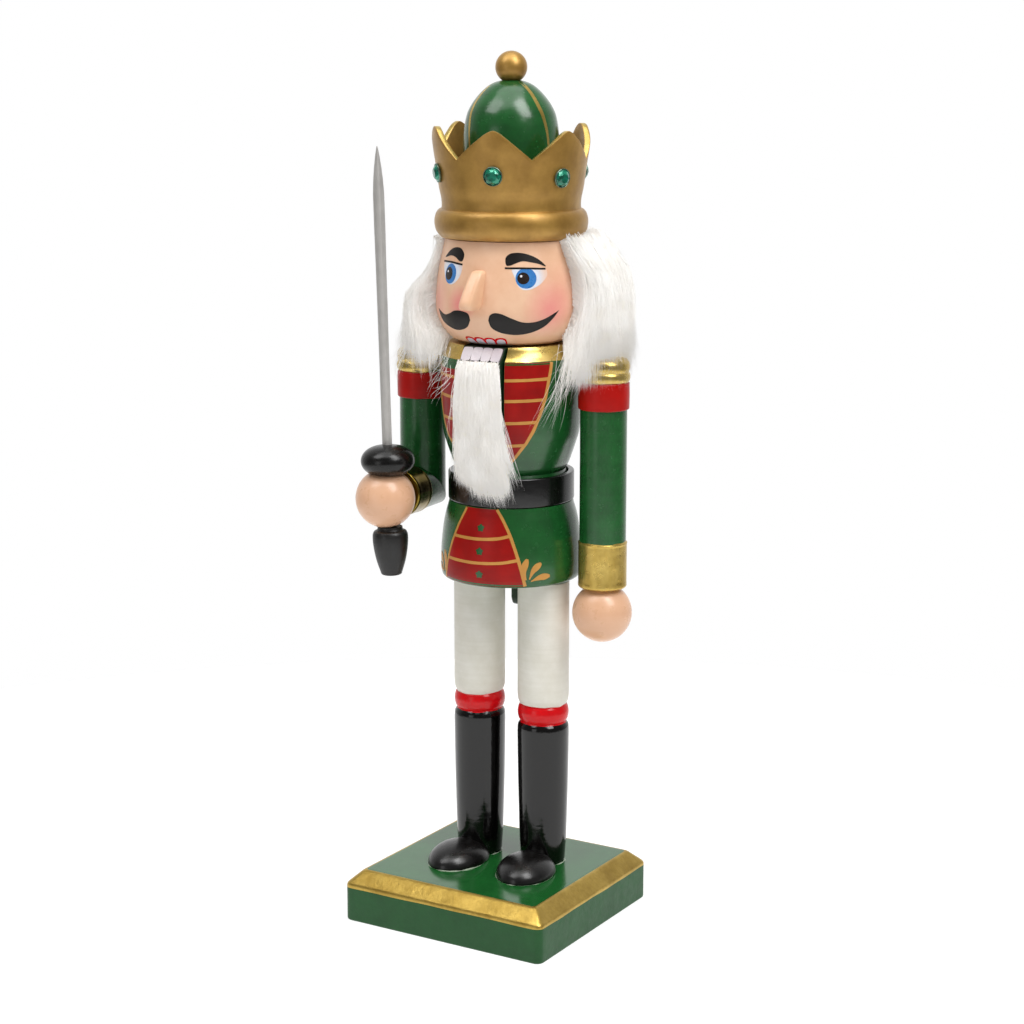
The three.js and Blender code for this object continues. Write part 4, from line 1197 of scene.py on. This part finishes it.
def hair_reach(az, z):
    """How far from the axis the hair stands, at an angle from HAIR_FROM to HAIR_TO and a height."""
    columns = np.stack([np.interp(z, HAIR_Z, row) for row in HAIR_OUT.values()], -1)
    place = np.interp(az, list(HAIR_OUT), range(len(HAIR_OUT)))
    low = np.clip(np.floor(place).astype(int), 0, len(HAIR_OUT) - 2)
    share = place - low
    a, b = (np.take_along_axis(columns, k[..., None], -1)[..., 0] for k in (low, low + 1))
    return a + (b - a) * share * share * (3 - 2 * share)


def bare_cheek(az, z):
    """Draws the wig back beside the left cheek, where the barrel shows, and forward under the right one."""
    back = np.interp(z, (248, 262, 272, 286, 296, 303), (2.5, 5.0, 8.5, 8.5, 4.0, 0.0))
    under = 17 * np.clip((271 - z) / 12, 0, 1) * np.clip((az - HAIR_TO + 26) / 26, 0, 1)
    return az + back * np.clip(1 - (az - HAIR_FROM) / 24, 0, 1) + under


def scalp(z):
    """Distance from the axis where hair starts or hangs closest to the head and chest."""
    hanging = np.interp(z, (244, 250, 253, 256.5), (31.8, 31.4, 30.0, 28.6))
    return np.maximum(np.interp(z, FACE.z, FACE.r) + 0.3, hanging)


def wig_paths(count, az_from, az_to):
    """Hairs that start on the head under the crown and fall to a ragged edge, the higher ones over the lower."""
    az = RNG.uniform(az_from, az_to, count)
    z0 = 302.0 - 42.0 * RNG.uniform(0, 1, count) ** 1.35
    layer = np.clip((z0 - 256) / 45 * 0.72 + RNG.uniform(-0.05, 0.36, count), 0.05, 1.03)
    length = RNG.uniform(36, 56, count)
    low = np.interp(az, (-291, -268, -250, -235, -220), (240.5, 241.5, 245.0, 246.5, 248.0))
    floor = RNG.normal(0, 1, count) * np.where(az < -235, 2.0, 3.4) + low
    length = np.minimum(length, np.maximum(z0 - floor, 9))
    t = np.linspace(0, 1, 6)[None] ** 1.25
    puff = np.clip((z0 - 292) / 10, 0, 1) * layer * np.where(az < -200, 7.5, 4.0)
    z = column(z0) + column(puff) * np.sin(np.minimum(t / 0.3, 1) * math.pi) - column(length) * t**1.1
    turn = varied(4.2, count) * t + 1.8 * np.sin(t * 5 + phase(count)) * t
    angle = bare_cheek(column(az) + turn, z)
    ease = 1 - (1 - np.minimum(t / 0.16, 1)) ** 2
    inner = scalp(z)
    r = inner + (hair_reach(np.clip(angle, HAIR_FROM, HAIR_TO), z) - inner) * column(layer) * ease
    r = np.where(z > CROWN_LOW - 0.4, np.maximum(r, 33.5), r)
    r += varied(0.35, count) * np.sin(t * 6 + phase(count)) * t
    paths = around(r, np.radians(angle), z)
    return off_shoulders(clumped(paths, np.column_stack((az * 0.6, z0)), 0.06, 0.42))


def wig_mass():
    """The thick of the fur, under the loose hairs."""
    across, up = 150, 46
    az, z = np.meshgrid(np.linspace(HAIR_FROM + 3.5, HAIR_TO - 11, across), np.linspace(251.0, 299.6, up))
    az = bare_cheek(az, z)
    inner = scalp(z) + 0.2
    outer = inner + (hair_reach(az, z) - inner) * 0.9
    i, j = np.arange(across), np.arange(up)
    edge = np.minimum(1, np.minimum(i, i[::-1]) / 8) ** 0.5
    ends = np.minimum(1, np.minimum(j / 12 + 0.05, j[::-1] / 3 + 0.3)) ** 0.6
    outer = inner + 0.3 + (outer - inner) * edge[None] * ends[:, None]
    waves = np.sin(az * 0.9 + 2.5 * np.sin(z * 0.16)) + 0.7 * np.sin(az * 2.3 + 1.5 * np.sin(z * 0.23))
    outer += 0.45 * waves * edge[None]
    verts = np.vstack([around(r, np.radians(az), z).reshape(-1, 3) for r in (outer, inner)])
    n = across * up
    index = np.arange(n).reshape(up, across)
    faces = []
    for q in zip(index[:-1, :-1].ravel(), index[:-1, 1:].ravel(), index[1:, 1:].ravel(), index[1:, :-1].ravel()):
        faces += [q, [n + k for k in q[::-1]]]
    border = [*index[0], *index[1:, -1], *index[-1, -2::-1], *index[-2:0:-1, 0]]
    faces += [[border[m], border[k], n + border[k], n + border[m]] for k, m in pairs(len(border))]
    piece("wig_mass", off_shoulders(verts), faces, [UNDERFUR], angle=180, nodes=("wig",), slot="fur")


def loose_locks():
    """Thin locks past the shoulders in front of the coat: count, start, end (degrees, height, distance), spread."""
    sets = []
    t = np.linspace(0, 1, 7)[None]
    for count, (az0, z0, r0), (az1, z1, r1), spread in (
            (44, (70, 260, 37), (59, 229, 35.5), 6.0), (60, (74, 262, 42), (68, 232, 38), 5.0),
            (22, (67, 258, 35), (50, 219, 34.0), 8.0), (44, (-63, 258, 46), (-68, 236, 51), 6.0),
            (20, (-20, 250, 37), (-44, 230, 36.5), 8.0)):
        start, stop = az0 + varied(2.2, count), az1 + varied(spread, count)
        high = z0 + varied(4, count)
        low = z1 + np.abs(varied(9, count))
        curl = varied(2.6, count) * np.sin(t * column(RNG.uniform(2, 5, count)))
        r = r0 + varied(1.2, count) + (r1 - r0) * t + varied(0.8, count, 0.8) * np.sin(3 * t)
        sets.append(around(r, np.radians(start + (stop - start) * t**1.5 + curl), high + (low - high) * t))
    paths = off_shoulders(np.concatenate(sets))
    paths = clumped(paths, paths[:, 0, :2] + paths[:, 0, 2:] * 0.3, 0.2, 0.35)
    hairs("wig_locks", paths, RNG.uniform(0.08, 0.2, len(paths)))


wig_mass()
for part, az_from, az_to in (("left_front", HAIR_FROM, -250), ("left_back", -262, -205), ("back", -215, -135),
                             ("right", -140, HAIR_TO)):
    number = 7000
    hairs(f"wig_hair_{part}", wig_paths(number, az_from, az_to), RNG.uniform(0.14, 0.32, number))
loose_locks()

BEARD_HALF, BEARD_BACK = 9.9, 31.2


def beard_hairs(name, count):
    """Hairs that start along the whole backing, hang over each other and end in loose tufts."""
    x0 = RNG.uniform(-BEARD_HALF, BEARD_HALF, count)
    z0 = 252.0 - 44 * RNG.uniform(0, 1, count) ** 0.85
    layer = np.clip((z0 - 198) / 54 * 0.62 + RNG.uniform(0, 0.42, count), 0.08, 1.05)
    length = RNG.uniform(13, 31, count)
    slant = 7 * np.clip((-x0 - 1) / 8, 0, 1)
    length = np.maximum(9, np.minimum(length, z0 - slant - 186.0 - RNG.gamma(1.6, 4.2, count)))
    t = np.linspace(0, 1, 6)[None] ** 1.1
    ease = 1 - (1 - np.minimum(t / 0.3, 1)) ** 2
    thick = 6.4 * np.sqrt(np.clip(1 - (x0 / (BEARD_HALF + 1.2)) ** 2, 0.2, 1))
    rise = np.clip((z0 - 247) / 4, 0, 1) * RNG.uniform(0, 2.4, count)
    z = column(z0) + column(rise) * np.sin(np.minimum(t / 0.35, 1) * math.pi) - column(length) * t**1.05
    drift = np.clip((250 - z) / 50, 0, 1.3) ** 1.2 * (1.7 + 0.1 * column(x0))
    sway = column(RNG.normal(0, 1, count) * np.where(z0 < 226, 3.6, 2.8))
    x = column(x0) + sway * t + 0.9 * np.sin(4 * t + phase(count)) * t
    x += drift + np.clip((208 - z) / 14, 0, 1.4) ** 1.5 * varied(2.8, count, 1.2)
    wisp = varied(0.9, count) * t**2
    y = -(BEARD_BACK + 0.4 + column(thick * layer) * ease * (1 - 0.12 * t))
    y += np.clip((212 - z) / 22, 0, 1) * 2.0 + wisp
    paths = np.stack((x, np.minimum(y, -BEARD_BACK - 0.2), z), -1)
    paths = clumped(paths, np.column_stack((x0, z0 * 0.4)), 0.03, 0.62)
    paths = clumped(paths, np.column_stack((x0, z0 * 0.22)), 0.007, 0.6)
    return hairs(name, paths, RNG.uniform(0.1, 0.24, count), body=None, nodes=("beard",))


def beard():
    """A strip of long fur on a backing, which hangs from the jaw."""
    count = 6800
    made = [beard_hairs(f"beard_hair_{side}", count) for side in ("under", "over")]
    levels = []
    for z, deep, side, shift in ((206, 0.6, 7.0, 1.6), (211, 1.2, 8.8, 1.4), (218, 2.2, 9.4, 1.1), (230, 2.8, 9.7, 0.6),
                                 (242, 2.6, 9.6, 0.1), (248.6, 1.7, 9.4, 0), (251.2, 0.6, 9.0, 0)):
        levels.append([(shift + side * math.cos(a), -(BEARD_BACK + 0.25 + deep * max(0, math.sin(a)) ** 0.6), z)
                       for a in np.linspace(math.pi, 0, 22)])
    made.append(piece("beard_mass", *tube(levels), [UNDERFUR], body=None, slot="fur", angle=180))
    for obj in made:
        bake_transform(obj)


beard()

# ---- CAD nodes that stay as they are ----

for name, node in frame["nodes"].items():
    if node.hide_render:
        continue
    node.data.materials.clear()
    node.data.materials.append(WOOD if "dowel" in name else STEEL)

# ---- Camera, floor and light ----

camera = put("camera", bpy.data.cameras.new("camera"))
camera.data.lens = 78.28
camera.data.sensor_width = 36
camera.data.clip_start, camera.data.clip_end = 0.01, 30
camera.location = (0.5019, -0.8097, 0.37494)
camera.rotation_euler = Vector((-0.5103, 0.8370, -0.1978)).to_track_quat("-Z", "Y").to_euler()
bpy.context.scene.camera = camera
AHEAD = Vector(camera.location[:2]).normalized()
FLOOR_AHEAD, FLOOR_R = 0.27, 0.7


def floor():
    """A white floor that ends a little way behind the figure and further out in front of it."""
    s = Shader("floor_white", Roughness=0.8, Specular_IOR_Level=0.1, Emission_Color=(1, 1, 1, 1),
               Emission_Strength=0.7)
    s.drive(Base_Color=s.mix(s.ramp(s.noise(3), 0.4, 0.6), linear("b4b4b3"), linear("b6b6b6")))
    x, y = AHEAD * FLOOR_AHEAD
    angles = np.linspace(0, 2 * math.pi, 96, endpoint=False)
    mesh = bpy.data.meshes.new("floor")
    mesh.from_pydata([(x + FLOOR_R * math.cos(a), y + FLOOR_R * math.sin(a), 0) for a in angles], [], [range(96)])
    mesh.materials.append(s.material)
    put("floor", mesh)


def softbox(name, azimuth, elevation, distance, width, height, watts):
    """An area light that faces the figure, at an azimuth from the front towards the figure's left."""
    a, e = math.radians(azimuth), math.radians(elevation)
    data = bpy.data.lights.new(name, "AREA")
    data.shape, data.size, data.size_y, data.energy = "RECTANGLE", width, height, watts
    light = put(name, data)
    out = Vector((math.sin(a) * math.cos(e), -math.cos(a) * math.cos(e), math.sin(e)))
    light.location = Vector((0, 0, 0.2)) + distance * out
    light.rotation_euler = (-out).to_track_quat("-Z", "Y").to_euler()


def studio():
    """White to the camera; for everything else a room that is bright behind the figure and dim in front."""
    world = bpy.data.worlds.new("studio")
    bpy.context.scene.world = world
    world.use_nodes = True
    room = Nodes(world.node_tree)
    toward = room.add("TexCoord").outputs["Generated"]
    along = room.add("VectorMath", {0: toward, 1: (-AHEAD.x, -AHEAD.y, 0)}, operation="DOT_PRODUCT").outputs["Value"]
    lit = room.add("Background", {"Color": (1, 1, 1, 1), "Strength": room.ramp(along, 0.0, 0.95, 0.15, 1.0)})
    seen = room.add("Background", {"Color": (1, 1, 1, 1), "Strength": 1.0})
    by_camera = room.add("LightPath").outputs["Is Camera Ray"]
    choice = room.add("MixShader", {0: by_camera, 1: lit.outputs[0], 2: seen.outputs[0]})
    room.plug(world.node_tree.nodes["World Output"].inputs["Surface"], choice.outputs[0])


floor()
softbox("key", 74, 52, 1.25, 0.5, 0.9, 11)
softbox("fill", -35, 55, 1.3, 0.6, 0.6, 5)
softbox("low_fill", -10, 6, 1.4, 0.5, 0.7, 1.3)
softbox("top", 40, 84, 1.3, 1.1, 1.1, 8)
studio()

bpy.context.scene.view_settings.view_transform = "Standard"

bpy.context.view_layer.update()
